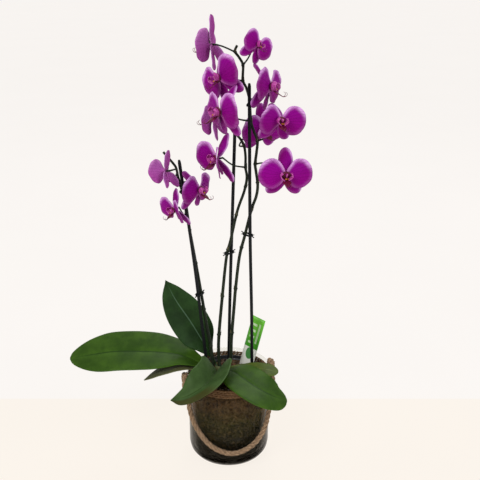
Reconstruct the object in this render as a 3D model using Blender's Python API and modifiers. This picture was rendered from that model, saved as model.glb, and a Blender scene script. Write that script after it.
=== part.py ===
"""A potted moth orchid: a glass jar with a jute rope handle holds a nursery pot, and three flower
spikes rise from six leaves, tied to three stakes. Metres, +Z up, the jar's base centred on the
origin, and the side that the handle hangs on faces -Y."""

import math

import bmesh
import bpy
import numpy as np
from mathutils import Matrix, Vector

# ------------------------------------------------------------------ driving sizes (metres)
GAP = 0.0003                 # clearance between pieces that touch in the real plant
TURN_STEPS = 32              # facets round a turned piece

JAR_HEIGHT = 0.150
JAR_RADIUS = 0.0635          # outside of the straight body
JAR_WALL = 0.0035
JAR_FLOOR = 0.005
JAR_BASE_RADIUS = JAR_RADIUS - 0.0215   # flat ring that it stands on
JAR_BODY_TOP = JAR_HEIGHT - 0.026
JAR_BODY_FOOT = 0.022
NECK_RADIUS = JAR_RADIUS - 0.003
NECK_FOOT = JAR_HEIGHT - 0.0205
NECK_TOP = JAR_HEIGHT - 0.006
LIP_RADIUS = JAR_RADIUS + 0.003

POT_RIM_RADIUS = JAR_RADIUS - 0.0093
POT_FOOT_RADIUS = JAR_RADIUS - 0.0205
POT_WALL = 0.0010
POT_TOP = JAR_HEIGHT - 0.009
POT_FOOT = 0.0266
MOSS_TOP = JAR_HEIGHT - 0.011
BARK_TOP = JAR_HEIGHT - 0.019
BARK_DOME = 0.0025           # how far the bark stands up in its middle
BARK_LUMPS = 0.0013

NECK_CORD = 0.0034           # diameter of the cord wound round the neck
NECK_TURNS = 4
NECK_CORD_CLEAR = 0.0006

HANDLE_ROPE = 0.0080         # diameter of the free handle rope
HANDLE_CLEAR = 0.0013        # its clearance from the glass
KNOT_RADIAL = 0.0044
KNOT_AROUND = 0.0065
KNOT_TALL = 0.0080

STAKE_RADIUS = 0.0024
STAKE_FOOT = JAR_HEIGHT - 0.105   # how deep the stakes go
POCKET_CLEAR = 0.0004

CROWN_X = -0.018
CROWN_Y = 0.002
CROWN_RADIUS = 0.0085
CROWN_FOOT = JAR_HEIGHT - 0.038
CROWN_TOP = JAR_HEIGHT - 0.001

STEM_FOOT_RADIUS = 0.0025    # a spike's radius at the crown
STEM_TIP_RADIUS = 0.0015
PEDICEL_RADIUS = 0.0011

LEAF_THICK = 0.0016
TEPAL_THICK = 0.0009
PETAL_LENGTH = 0.046
PETAL_WIDTH = 0.052
SEPAL_LENGTH = 0.046
SEPAL_WIDTH = 0.027
SEPAL_SPREAD = 142           # degrees between the top sepal and each lower one
HUB_RADIUS = 0.0032
HUB_DEPTH = 0.0046
LIP_LENGTH = 0.022

LABEL_WIDTH = 0.024
LABEL_LENGTH = 0.100
LABEL_THICK = 0.0008

MM = 0.001
JOIN_SCALE = 100.0

# The hand-placed points below are for a jar of this height and radius and a crown of this radius.
# placed() moves them with the real ones.
ROUTED_HEIGHT = 0.150
ROUTED_RADIUS = 0.0635
ROUTED_CROWN = 0.0085
ROUTED_STAKE = 0.0024

# Stakes: hand-placed points from the foot up, in millimetres.
STAKES = {
    "stake_left": [
        (-26, 15, 45), (-34.5, 15, 140), (-40, 14.5, 200), (-50, 13, 308), (-57, 12, 372), (-70, 11, 482),
    ],
    "stake_middle": [(-1, 25, 45), (0, 25, 156), (3, 25, 281), (6, 25, 376), (11, 25, 535)],
    "stake_right": [(38, 12, 45), (37, 12, 138), (36, 12, 237), (33, 12, 374), (31, 12, 592)],
}

# Spikes: hand-placed points from the crown up, in millimetres.
SPIKES = {
    "spike_left": [
        (-24.5, 12.4, 139), (-26, 15, 156), (-29, 19, 180), (-34, 20, 208), (-38.5, 20, 242),
        (-42.5, 19.5, 271), (-47.5, 19, 306), (-56.5, 18.2, 366), (-61.5, 18, 394), (-64, 18, 417),
        (-69, 18, 441), (-72.5, 18, 454), (-75, 18, 468), (-80, 18, 476), (-93, 18, 492),
    ],
    "spike_middle": [
        (-13.2, 12.8, 139), (-15.6, 17, 154), (-15.5, 20, 191), (-9, 21, 266), (-2.5, 20, 328),
        (4, 18.5, 356), (14, 18, 402), (24, 18, 432), (28, 18, 453), (26, 18, 469), (26, 19, 485),
        (24, 20, 500), (19, 20, 510), (11, 18, 520), (3, 16, 531),
    ],
    "spike_right": [
        (-8.6, 8.6, 139), (2.5, 15, 153), (4.5, 18, 190), (9, 18.5, 248), (11, 18.5, 274),
        (17, 18.5, 328), (25, 18.5, 362), (35, 18.5, 404), (42, 18.5, 425), (44, 18.5, 442),
        (41.5, 18.5, 462), (40, 18.5, 474), (42, 18.5, 492), (43, 18.5, 508), (38, 18.5, 522),
        (33.5, 18.8, 537), (31.6, 18.4, 566), (27, 18, 584), (22, 18, 594), (22, 18, 604),
        (22, 18, 617), (16.5, 18, 627), (11, 18, 635), (14, 18, 643),
    ],
}

# Pedicels: the height of the node on the spike, middle points, and the flower that it bears.
PEDICELS = {
    "spike_left": [
        (394, [(-66, 14, 398)], 12),
        (440, [(-76, 9, 452), (-71, -17, 475)], 11),
        (444, [(-60, 22, 446)], 13),
    ],
    "spike_middle": [
        (469, [(8, 12, 474)], 6),
        (500, [(17, 30, 499), (26, 45, 509), (39, 55, 514)], 9),
        (528, [(-2, 17, 536)], 4),
    ],
    "spike_right": [
        (474, [(55, 2, 479)], 10),
        (508, [(55, 8, 517)], 8),
        (537, [(17, 17, 540), (9, -30, 555)], 5),
        (567, [(42, 8, 575)], 7),
        (594, [(11, 8, 598)], 3),
        (616, [(30, 4, 629)], 2),
        (634, [(-4, 17, 641)], 1),
    ],
}

# Flowers: where the hub is (millimetres), turn, nod and roll of the face (degrees), size, how far
# the two petals sweep forward, and how far the top sepal leans back (degrees).
FLOWERS = {
    1: ((-22, 20, 644), -108, 0, 0, 0.88, 14, -4),
    2: ((42, -19, 648), 43, 0, -30, 0.60, 4, 44),
    3: ((-10, -34, 607), -48, -4, 32, 0.85, -2, 32),
    4: ((-21, 16, 543), -108, -4, -4, 0.80, 6, 12),
    5: ((-8, -71, 569), -60, -4, 6, 0.90, -4, 40),
    6: ((-14, -14, 490), -64, -6, -2, 0.86, 26, 28),
    7: ((59, -8, 591), 64, -2, -14, 0.88, 0, 42),
    8: ((73, -28, 548), 25, -4, -8, 0.80, 16, 62),
    9: ((54, 46, 519), 32, -6, 0, 0.84, 0, 20),
    10: ((82, -34, 472), 8, -2, -2, 0.85, -4, 20),
    11: ((-88, -17, 473), -112, -12, 12, 0.66, 20, 14),
    12: ((-77, -8, 413), -56, -14, 4, 0.68, 14, 20),
    13: ((-41, -8, 443), 60, -4, -6, 0.80, -6, 52),
}

# Leaves: midrib points from the base (millimetres), the blade's own sideways direction at its base
# and at its tip, its width, the fold at base and tip (degrees), and its outline, as shares of the
# half width at even steps along the midrib.
LEAVES = {
    "leaf_back": (
        [(-19, 11.4, 141.5), (-20.8, 20, 144), (-26.5, 28, 151.5), (-37.5, 34, 168), (-49, 39, 187),
         (-62, 44, 208), (-85, 53, 241), (-101, 62, 271)],
        (0.85, 0.16, 0.45), (0.80, 0.25, 0.50), 0.066, 36, 14,
        (0.05, 0.07, 0.46, 0.90, 1.00, 0.96, 0.80, 0.50, 0.06),
    ),
    "leaf_long": (
        [(-28.5, 1.5, 143), (-38, 1.5, 150.6), (-62, 6, 161), (-84, 12, 165), (-122, 16, 167),
         (-176, 18, 166.5), (-207, 17, 163), (-252, 14, 156)],
        (0.0, 0.98, 0.14), (0.0, 0.88, 0.46), 0.082, 9, 5,
        (0.12, 0.42, 0.76, 0.96, 1.00, 0.97, 0.88, 0.64, 0.08),
    ),
    "leaf_arching": (
        [(-27.0, -4.6, 139), (-38, -3, 143.5), (-52, -2, 150.5), (-66, -2, 154), (-80, -3, 153.6),
         (-95, -6, 149.5), (-113, -11, 144), (-132, -17, 135)],
        (0.0, 0.99, -0.06), (0.0, 0.93, -0.38), 0.034, 6, 4,
        (0.20, 0.40, 0.62, 0.82, 0.98, 1.00, 0.85, 0.55, 0.10),
    ),
    "leaf_folded": (
        [(-18, -7.6, 144), (-18.5, -18, 151), (-23, -42, 156), (-31, -62, 157), (-44, -77, 153.5),
         (-62, -85, 147), (-85, -82, 139)],
        (-1.0, 0.0, 0.0), (-0.25, 0.95, 0.20), 0.064, 54, 8,
        (0.34, 1.00, 1.00, 0.98, 0.96, 0.86, 0.68, 0.42, 0.07),
    ),
    "leaf_broad": (
        [(-9.6, -3.8, 141), (-1, -11, 148), (9, -24, 153.5), (21, -42, 155), (37, -60, 152),
         (54, -72, 147.5), (71, -77, 141.5), (88, -75, 134.5)],
        (0.90, 0.42, 0.06), (0.10, 0.95, 0.22), 0.062, 8, 3,
        (0.08, 0.52, 0.84, 0.97, 1.00, 0.98, 0.90, 0.70, 0.30),
    ),
    "leaf_small": (
        [(-8.8, 2.6, 139), (4, 3.2, 142.6), (22, -3, 146.5), (42, -9, 150.4), (60, -15, 152.8),
         (77, -21, 150.5)],
        (0.30, 0.95, 0.0), (0.30, 0.95, 0.0), 0.029, 4, 2,
        (0.20, 0.55, 0.82, 0.95, 1.00, 0.98, 0.90, 0.70, 0.25),
    ),
}

# The handle rope: angle round the jar (degrees), height and extra radius (millimetres).
HANDLE_ROUTE = [
    (189, 126.6, 2.2), (196, 118, 1.0), (204, 106, 0), (209, 91, 0), (218, 76, 0), (229, 63, 0),
    (240, 52, 0), (251, 44, 0), (262, 39, 0), (274, 36, 0), (288, 38, 0), (303, 44, 0), (317, 54, 0),
    (327, 66, 0), (334, 80, 0), (341, 96, 0), (350, 111, 0.6), (3, 124, 1.4), (15, 133.4, 2.6),
]
KNOTS = {"handle_knot_left": (189, 137.0, 0.0), "handle_knot_right": (17, 143.5, 1.2)}

# Clips: the height (millimetres), the stake and the spike that each one holds together.
CLIPS = {
    "clip_left_low": (268, "stake_left", "spike_left"),
    "clip_left_high": (432, "stake_left", "spike_left"),
    "clip_middle": (334, "stake_middle", "spike_middle"),
    "clip_right_low": (366, "stake_right", "spike_right"),
    "clip_right_high": (561, "stake_right", "spike_right"),
}

COLOURS = {
    "glass": ((0.70, 0.76, 0.72), 0.05),
    "moss": ((0.10, 0.075, 0.025), 0.95),
    "pot": ((0.050, 0.055, 0.065), 0.35),
    "bark": ((0.090, 0.050, 0.025), 0.95),
    "jute": ((0.42, 0.27, 0.14), 0.90),
    "stake": ((0.010, 0.012, 0.014), 0.40),
    "leaf": ((0.040, 0.110, 0.030), 0.40),
    "stem": ((0.045, 0.060, 0.030), 0.55),
    "petal": ((0.36, 0.006, 0.30), 0.55),
    "lip": ((0.18, 0.004, 0.050), 0.45),
    "label": ((0.10, 0.42, 0.03), 0.45),
}


# ------------------------------------------------------------------ scene and helpers
def clear_scene():
    for thing in list(bpy.data.objects):
        bpy.data.objects.remove(thing, do_unlink=True)


def make_collections():
    plant = bpy.data.collections.new("orchid_in_a_jar")
    guides = bpy.data.collections.new("guides")
    bpy.context.scene.collection.children.link(plant)
    bpy.context.scene.collection.children.link(guides)
    return plant, guides


def make_material(kind):
    colour, roughness = COLOURS[kind]
    made = bpy.data.materials.new(kind)
    made.use_nodes = True
    shader = made.node_tree.nodes["Principled BSDF"]
    shader.inputs["Base Color"].default_value = (*colour, 1.0)
    shader.inputs["Roughness"].default_value = roughness
    if kind == "glass":
        shader.inputs["Transmission Weight"].default_value = 0.9
    made.diffuse_color = (*colour, 1.0)
    return made


clear_scene()
PLANT, GUIDES = make_collections()
MATERIALS = {kind: make_material(kind) for kind in COLOURS}


def place(name, data, kind):
    """A new object in the plant's collection, with its material."""
    made = bpy.data.objects.new(name, data)
    data.materials.clear()
    data.materials.append(MATERIALS[kind])
    PLANT.objects.link(made)
    return made


def guide(made):
    """Moves an object among the hidden cutters."""
    for home in list(made.users_collection):
        home.objects.unlink(made)
    GUIDES.objects.link(made)
    made.hide_render = True
    made.display_type = "WIRE"
    return made


def mesh_from(shape, name):
    bmesh.ops.recalc_face_normals(shape, faces=shape.faces)
    data = bpy.data.meshes.new(name)
    shape.to_mesh(data)
    shape.free()
    return data


def boolean(made, other, operation):
    step = made.modifiers.new(operation.lower() + "_" + other.name, "BOOLEAN")
    step.operation = operation
    step.solver = "EXACT"
    step.object = other


def baked(made):
    """The mesh that an object shows with its modifiers."""
    bpy.context.view_layer.update()
    shown = made.evaluated_get(bpy.context.evaluated_depsgraph_get())
    return bpy.data.meshes.new_from_object(shown)


def united(name, pieces, kind):
    """One body made of overlapping pieces, joined at a larger scale and brought back."""
    for piece in pieces:
        piece.data.transform(Matrix.Scale(JOIN_SCALE, 4))
    first = pieces[0]
    for other in pieces[1:]:
        boolean(first, other, "UNION")
    data = baked(first)
    data.name = name
    data.transform(Matrix.Scale(1 / JOIN_SCALE, 4))
    for piece in pieces:
        bpy.data.objects.remove(piece, do_unlink=True)
    for face in data.polygons:
        face.material_index = 0
    return place(name, data, kind)


def turned(name, profile, kind, closed=False, steps=TURN_STEPS):
    """Turns a profile of (radius, height) points about Z with the Screw modifier."""
    shape = bmesh.new()
    corners = [shape.verts.new((r, 0.0, z)) for r, z in profile]
    for a, b in zip(corners, corners[1:]):
        shape.edges.new((a, b))
    if closed:
        shape.edges.new((corners[-1], corners[0]))
    data = bpy.data.meshes.new(name)
    shape.to_mesh(data)
    shape.free()
    made = place(name, data, kind)
    screw = made.modifiers.new("turn", "SCREW")
    screw.axis = "Z"
    screw.steps = steps
    screw.render_steps = steps
    screw.use_merge_vertices = True
    screw.merge_threshold = 0.00001
    screw.use_smooth_shade = False
    return made


def smooth_route(points, spacing):
    """Even points along a Catmull-Rom curve through the given ones (all in metres)."""
    p = [np.array(q, float) for q in points]
    p = [2 * p[0] - p[1]] + p + [2 * p[-1] - p[-2]]
    fine = []
    for a, b, c, d in zip(p, p[1:], p[2:], p[3:]):
        for t in np.linspace(0, 1, 24, endpoint=False):
            fine.append(0.5 * (2 * b + (c - a) * t + (2 * a - 5 * b + 4 * c - d) * t * t
                               + (3 * b - a - 3 * c + d) * t ** 3))
    fine = np.array(fine + [p[-2]])
    along = np.concatenate([[0], np.cumsum(np.linalg.norm(np.diff(fine, axis=0), axis=1))])
    count = max(2, round(along[-1] / spacing) + 1)
    at = np.linspace(0, along[-1], count)
    return np.stack([np.interp(at, along, fine[:, k]) for k in range(3)], axis=1)


def tube(name, route, radius, kind, sides=2, taper=None):
    """A round rod along a route, as a curve with a bevel and filled ends."""
    data = bpy.data.curves.new(name, "CURVE")
    data.dimensions = "3D"
    data.bevel_depth = radius
    data.bevel_resolution = sides
    data.use_fill_caps = True
    data.render_resolution_u = 0
    spline = data.splines.new("POLY")
    spline.points.add(len(route) - 1)
    for k, point in enumerate(route):
        spline.points[k].co = (*point, 1.0)
        spline.points[k].radius = 1.0 if taper is None else taper[k]
    return place(name, data, kind)


def as_mesh(made, kind):
    """The same piece as a mesh object, so that it can be united with others."""
    data = baked(made)
    name = made.name
    bpy.data.objects.remove(made, do_unlink=True)
    return place(name, data, kind)


def in_metres(points):
    return [tuple(v * MM for v in p) for p in points]


def placed(points):
    """Hand-placed points in metres, moved with the jar's height and the crown's radius."""
    moved = []
    for x, y, z in in_metres(points):
        aside = math.hypot(x - CROWN_X, y - CROWN_Y)
        near = max(0.0, 1 - aside / 0.040) * (CROWN_RADIUS - ROUTED_CROWN) * 1.4
        x2 = x + ((x - CROWN_X) / aside * near if near else 0.0)
        y2 = y + ((y - CROWN_Y) / aside * near if near else 0.0)
        moved.append((x2, y2, z + JAR_HEIGHT - ROUTED_HEIGHT))
    return moved


def over_rim(points):
    """The points of a leaf that lie low over the jar's rim, moved out with the jar's radius."""
    moved = []
    for x, y, z in points:
        out = math.hypot(x, y)
        low = z < JAR_HEIGHT + 0.009
        share = min(max((out - 0.030) / 0.030, 0.0), 1.0) if low else 0.0
        grow = 1 + share * (JAR_RADIUS - ROUTED_RADIUS) / out
        moved.append((x * grow, y * grow, z))
    return moved


def placed_height(height):
    return height * MM + JAR_HEIGHT - ROUTED_HEIGHT


def stake_route(name):
    """A stake's route. The right one moves off its spike by as much as it is thicker than planned."""
    away = STAKE_RADIUS - ROUTED_STAKE if name == "stake_right" else 0.0
    return smooth_route([(x, y - away, z) for x, y, z in placed(STAKES[name])], 0.040)


def spike_route(name):
    return smooth_route(placed(SPIKES[name]), 0.017)


def at_height(route, height):
    """The point of a rising route at one height."""
    order = np.argsort(route[:, 2])
    return np.array([np.interp(height, route[order, 2], route[order, k]) for k in range(3)])


def round_jar(angle, height, radius):
    turn = math.radians(angle)
    return (radius * math.cos(turn), radius * math.sin(turn), height)


# ------------------------------------------------------------------ the jar and what is in it
def build_jar():
    inner = JAR_RADIUS - JAR_WALL
    neck_in = NECK_RADIUS - JAR_WALL
    profile = [
        (0.0, JAR_FLOOR),
        (JAR_BASE_RADIUS - 0.001, JAR_FLOOR),
        (JAR_RADIUS - 0.012, JAR_FLOOR + 0.0042),
        (inner - 0.0012, 0.0165),
        (inner, JAR_BODY_FOOT + 0.002),
        (inner, JAR_BODY_TOP - 0.002),
        (neck_in, NECK_FOOT - 0.001),
        (neck_in, NECK_TOP + 0.001),
        (LIP_RADIUS - 0.0050, JAR_HEIGHT - 0.0010),
        (LIP_RADIUS - 0.0035, JAR_HEIGHT),
        (LIP_RADIUS - 0.0010, JAR_HEIGHT - 0.0008),
        (LIP_RADIUS, JAR_HEIGHT - 0.0028),
        (LIP_RADIUS - 0.0012, NECK_TOP + 0.0014),
        (NECK_RADIUS, NECK_TOP),
        (NECK_RADIUS, NECK_FOOT),
        (JAR_RADIUS, JAR_BODY_TOP),
        (JAR_RADIUS, JAR_BODY_FOOT),
        (JAR_RADIUS - 0.0017, 0.0125),
        (JAR_RADIUS - 0.0065, 0.0058),
        (JAR_RADIUS - 0.0130, 0.0016),
        (JAR_BASE_RADIUS, 0.0),
        (0.0, 0.0),
    ]
    return turned("glass_jar", profile, "glass")


def pot_outside(height):
    share = (height - POT_FOOT) / (POT_TOP - 0.007 - POT_FOOT)
    return POT_FOOT_RADIUS + (POT_RIM_RADIUS - 0.0014 - POT_FOOT_RADIUS) * min(share, 1.0)


def build_moss():
    inner = JAR_RADIUS - JAR_WALL - GAP
    neck_in = NECK_RADIUS - JAR_WALL - GAP
    loose = GAP + 0.0004
    profile = [
        (0.0, POT_FOOT - loose),
        (POT_FOOT_RADIUS + loose, POT_FOOT - loose),
        (pot_outside(POT_FOOT + 0.0534) + loose, POT_FOOT + 0.0534),
        (POT_RIM_RADIUS + GAP, POT_TOP - 0.009),
        (POT_RIM_RADIUS + GAP, MOSS_TOP),
        (neck_in, MOSS_TOP - 0.001),
        (neck_in, NECK_FOOT - 0.0015),
        (inner, JAR_BODY_TOP - 0.0025),
        (inner, JAR_BODY_FOOT + 0.0025),
        (inner - 0.0014, 0.0170),
        (JAR_RADIUS - 0.0125, JAR_FLOOR + 0.0048),
        (JAR_BASE_RADIUS - 0.0015, JAR_FLOOR + GAP),
        (0.0, JAR_FLOOR + GAP),
    ]
    return turned("moss_lining", profile, "moss")


def build_pot():
    step = POT_TOP - 0.007
    profile = [
        (0.0, POT_FOOT + POT_WALL),
        (POT_FOOT_RADIUS - POT_WALL, POT_FOOT + POT_WALL),
        (POT_RIM_RADIUS - 0.0014 - POT_WALL, step),
        (POT_RIM_RADIUS - POT_WALL, step + 0.0012),
        (POT_RIM_RADIUS - POT_WALL, POT_TOP),
        (POT_RIM_RADIUS, POT_TOP),
        (POT_RIM_RADIUS, step),
        (POT_RIM_RADIUS - 0.0014, step - 0.0006),
        (POT_FOOT_RADIUS, POT_FOOT),
        (0.0, POT_FOOT),
    ]
    return turned("nursery_pot", profile, "pot")


def build_bark():
    """The bark that fills the pot, with a lumpy top and pockets for all that stands in it."""
    foot = POT_FOOT + POT_WALL + GAP
    low = POT_FOOT_RADIUS - POT_WALL - GAP
    high = pot_outside(BARK_TOP) - POT_WALL - GAP - 0.0002
    rings = [(0.0, BARK_DOME), (0.25, BARK_DOME), (0.5, BARK_DOME * 0.8), (0.75, BARK_DOME * 0.45)]
    profile = [(share * high, BARK_TOP + rise) for share, rise in rings]
    profile += [(high, BARK_TOP - 0.0005), (low, foot), (0.0, foot)]
    plain = turned("bark_plain", profile, "bark", steps=28)
    data = baked(plain)
    data.name = "bark_mix"
    bpy.data.objects.remove(plain, do_unlink=True)
    for corner in data.vertices:
        x, y, z = corner.co
        if z > BARK_TOP - 0.0001:
            corner.co.z += BARK_LUMPS * math.sin(x * 520 + 1.0) * math.cos(y * 470 - x * 130)
    return place("bark_mix", data, "bark")


def cut_pocket(bark, name, radius, foot, route):
    """Cuts a round pocket down to the foot, along the lower part of a route."""
    heights = np.linspace(foot, BARK_TOP + 0.020, 6)
    line = [at_height(route, height) for height in heights]
    cutter = tube(name, line, radius, "bark", sides=2)
    cutter = guide(as_mesh(cutter, "bark"))
    boolean(bark, cutter, "DIFFERENCE")


def build_neck_cord():
    """The cord wound round the neck, with its turns pressed together into one ring."""
    inner = NECK_RADIUS + NECK_CORD_CLEAR
    reach = inner + NECK_CORD
    foot = NECK_FOOT + 0.0004
    profile = [(inner, foot + NECK_TURNS * NECK_CORD - 0.0006), (inner, foot + 0.0006)]
    for k in range(NECK_TURNS):
        low = foot + k * NECK_CORD
        profile.append((inner + 0.40 * NECK_CORD, low + 0.02 * NECK_CORD))
        profile.append((reach, low + 0.30 * NECK_CORD))
        profile.append((reach, low + 0.70 * NECK_CORD))
    profile.append((inner + 0.35 * NECK_CORD, foot + NECK_TURNS * NECK_CORD - 0.02 * NECK_CORD))
    return turned("neck_rope", profile[::-1], "jute", closed=True)


def build_knots():
    for name, (angle, height, extra) in KNOTS.items():
        radius = NECK_RADIUS + NECK_CORD_CLEAR + NECK_CORD + KNOT_RADIAL + GAP + extra * MM
        shape = bmesh.new()
        bmesh.ops.create_uvsphere(shape, u_segments=10, v_segments=6, radius=1.0)
        bmesh.ops.scale(shape, vec=(KNOT_RADIAL, KNOT_AROUND, KNOT_TALL), verts=shape.verts)
        turn = Matrix.Rotation(math.radians(angle), 4, "Z")
        shift = Matrix.Translation(round_jar(angle, placed_height(height), radius))
        bmesh.ops.transform(shape, matrix=shift @ turn, verts=shape.verts)
        place(name, mesh_from(shape, name), "jute")


def handle_route():
    radius = JAR_RADIUS + HANDLE_ROPE / 2 + HANDLE_CLEAR
    points = [round_jar(a, placed_height(z), radius + extra * MM) for a, z, extra in HANDLE_ROUTE]
    return smooth_route(points, 2.2 * HANDLE_ROPE)


# ------------------------------------------------------------------ leaves
def interpolate(values, u):
    at = np.linspace(0, 1, len(values))
    return float(np.interp(u, at, values))


def build_leaf(name):
    midrib, side_base, side_tip, width, fold_base, fold_tip, outline = LEAVES[name]
    route = smooth_route(over_rim(placed(midrib)), 0.001)
    steps = 8
    shape = bmesh.new()
    bmesh.ops.create_grid(shape, x_segments=steps, y_segments=4, size=1.0)
    for corner in shape.verts:
        u = (corner.co.x + 1) / 2
        v = corner.co.y
        k = u * (len(route) - 1)
        here = route[round(k)]
        ahead = route[min(round(k) + 3, len(route) - 1)] - route[max(round(k) - 3, 0)]
        along = Vector(ahead).normalized()
        side = Vector(side_base).lerp(Vector(side_tip), u)
        side = (side - along * side.dot(along)).normalized()
        up = along.cross(side)
        if up.z < 0 or (abs(up.z) < 0.2 and up.y > 0):
            up = -up
        fold = math.radians(fold_base + (fold_tip - fold_base) * u)
        half = width / 2 * interpolate(outline, u)
        rise = abs(v) * math.sin(fold) - 0.10 * v * v * u
        corner.co = Vector(here) + side * (half * v * math.cos(fold)) + up * (half * rise)
    made = place(name, mesh_from(shape, name), "leaf")
    thick = made.modifiers.new("thickness", "SOLIDIFY")
    thick.thickness = LEAF_THICK
    thick.offset = 0.0
    thick.use_even_offset = False
    return made


def build_crown():
    """The short stem that the leaves and the spikes grow from."""
    profile = [
        (0.0, CROWN_TOP),
        (CROWN_RADIUS * 0.45, CROWN_TOP - 0.0008),
        (CROWN_RADIUS * 0.85, CROWN_TOP - 0.004),
        (CROWN_RADIUS, CROWN_TOP - 0.010),
        (CROWN_RADIUS, CROWN_FOOT + 0.004),
        (CROWN_RADIUS * 0.7, CROWN_FOOT),
        (0.0, CROWN_FOOT),
    ]
    made = turned("crown", profile, "stem", steps=16)
    data = baked(made)
    data.name = "crown"
    bpy.data.objects.remove(made, do_unlink=True)
    data.transform(Matrix.Translation((CROWN_X, CROWN_Y, 0.0)))
    return place("crown", data, "stem")


# ------------------------------------------------------------------ flowers
def face_turn(number):
    """Where a flower's hub is and how its face is turned."""
    hub, turn, nod, roll, size = FLOWERS[number][:5]
    yaw = Matrix.Rotation(math.radians(turn), 4, "Z")
    pitch = Matrix.Rotation(math.radians(-nod), 4, "X")
    tilt = Matrix.Rotation(math.radians(-roll), 4, "Y")
    return Matrix.Translation(placed([hub])[0]) @ yaw @ pitch @ tilt @ Matrix.Scale(size, 4)


def blade_point(x, y, angle, lean, lift, forward):
    """A point x along and y across a blade that leaves the hub at an angle from the top."""
    a = math.radians(angle)
    b = math.radians(lean)
    along = Vector((math.sin(a) * math.cos(b), math.sin(b), math.cos(a) * math.cos(b)))
    across = Vector((math.cos(a), 0.0, -math.sin(a)))
    front = across.cross(along)
    return along * x + across * y + front * lift + Vector((0, -forward, 0))


def tepal(name, length, width, angle, lean, forward, widen):
    """One petal or sepal as a thin curved blade."""
    shape = bmesh.new()
    bmesh.ops.create_grid(shape, x_segments=3, y_segments=3, size=1.0)
    for corner in shape.verts:
        s, t = corner.co.x, corner.co.y
        x = s * math.sqrt(1 - t * t / 2)
        y = t * math.sqrt(1 - s * s / 2)
        claw = 1 - 0.45 * max(0.0, -x) ** 3
        along = length * (x + 1) / 2
        across = width / 2 * y * (1 + widen * x) * claw
        lift = -0.05 * length * ((x + 1) / 2) ** 2 - 0.06 * width * y * y
        corner.co = blade_point(along, across, angle, lean, lift, forward)
    made = place(name, mesh_from(shape, name), "petal")
    thick = made.modifiers.new("thickness", "SOLIDIFY")
    thick.thickness = TEPAL_THICK
    thick.offset = 0.0
    thick.use_even_offset = False
    data = baked(made)
    bpy.data.objects.remove(made, do_unlink=True)
    return place(name, data, "petal")


def build_tepals(number):
    sweep, lean = FLOWERS[number][5:]
    shape = bmesh.new()
    bmesh.ops.create_cone(shape, cap_ends=True, segments=6, radius1=HUB_RADIUS, radius2=HUB_RADIUS * 0.8,
                          depth=HUB_DEPTH)
    bmesh.ops.rotate(shape, matrix=Matrix.Rotation(math.radians(90), 3, "X"), verts=shape.verts)
    hub = place("hub", mesh_from(shape, "hub"), "petal")
    parts = [hub]
    petal = (PETAL_LENGTH, PETAL_WIDTH)
    sepal = (SEPAL_LENGTH, SEPAL_WIDTH)
    parts.append(tepal("petal_a", *petal, 86, -sweep, 0.0008, 0.02))
    parts.append(tepal("petal_b", *petal, -86, -sweep, 0.0015, 0.02))
    parts.append(tepal("sepal_a", *sepal, 0, lean, 0.0026 * math.sin(math.radians(lean)) - 0.0012, 0.10))
    parts.append(tepal("sepal_b", *sepal, SEPAL_SPREAD, 14, -0.0005, 0.10))
    parts.append(tepal("sepal_c", *sepal, -SEPAL_SPREAD, 14, -0.0018, 0.10))
    made = united("flower_%02d_tepals" % number, parts, "petal")
    made.data.transform(face_turn(number))


def side_lobe(hand):
    """One of the two upright lobes that cup the mouth of the lip."""
    shape = bmesh.new()
    bmesh.ops.create_grid(shape, x_segments=1, y_segments=2, size=1.0)
    for corner in shape.verts:
        front = (corner.co.x + 1) / 2
        high = (corner.co.y + 1) / 2
        x = hand * (0.6 + 9.4 * math.sin(math.pi * (0.08 + 0.62 * high)))
        y = -(5.0 + 2.5 * high + front * (9.0 - 3.0 * high * high))
        z = -5.5 + 13.0 * high
        corner.co = Vector((x, y, z)) * MM
    return thin_piece(shape, "side_lobe")


def middle_lobe():
    """The arrow-shaped middle lobe of the lip."""
    shape = bmesh.new()
    bmesh.ops.create_grid(shape, x_segments=3, y_segments=2, size=1.0)
    for corner in shape.verts:
        along = (corner.co.x + 1) / 2
        half = 1.6 + 5.6 * math.sin(math.pi * min(along * 0.9 + 0.05, 1.0)) ** 1.4
        y = -(4.5 + (LIP_LENGTH / MM - 4.5) * along)
        z = -4.5 - 7.5 * along ** 1.2 - 0.10 * half * corner.co.y ** 2
        corner.co = Vector((half * corner.co.y, y, z)) * MM
    return thin_piece(shape, "middle_lobe")


def thin_piece(shape, name):
    made = place(name, mesh_from(shape, name), "lip")
    thick = made.modifiers.new("thickness", "SOLIDIFY")
    thick.thickness = TEPAL_THICK
    thick.offset = 0.0
    thick.use_even_offset = False
    data = baked(made)
    bpy.data.objects.remove(made, do_unlink=True)
    return place(name, data, "lip")


def tendril(hand):
    """One of the two curled threads at the tip of the lip."""
    points = [(hand * 0.6, -20.0, -11.5), (hand * 1.6, -24.5, -13.2), (hand * 3.2, -28.5, -11.5),
              (hand * 4.2, -29.0, -7.5), (hand * 4.0, -26.0, -5.8)]
    rod = tube("tendril", smooth_route(in_metres(points), 0.0052), 0.0006, "lip", sides=0)
    return as_mesh(rod, "lip")


def ball(name, centre, radius):
    shape = bmesh.new()
    bmesh.ops.create_uvsphere(shape, u_segments=6, v_segments=4, radius=1.0)
    bmesh.ops.scale(shape, vec=[r * MM for r in radius], verts=shape.verts)
    bmesh.ops.translate(shape, vec=[c * MM for c in centre], verts=shape.verts)
    return place(name, mesh_from(shape, name), "lip")


def lip_pieces():
    """The lip of one flower about its hub: column, callus, lobes and tendrils."""
    column = ball("column", (0.0, -6.8, -1.2), (2.8, 3.9, 5.2))
    return [column, side_lobe(1), side_lobe(-1), middle_lobe(), tendril(1), tendril(-1)]


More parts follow.
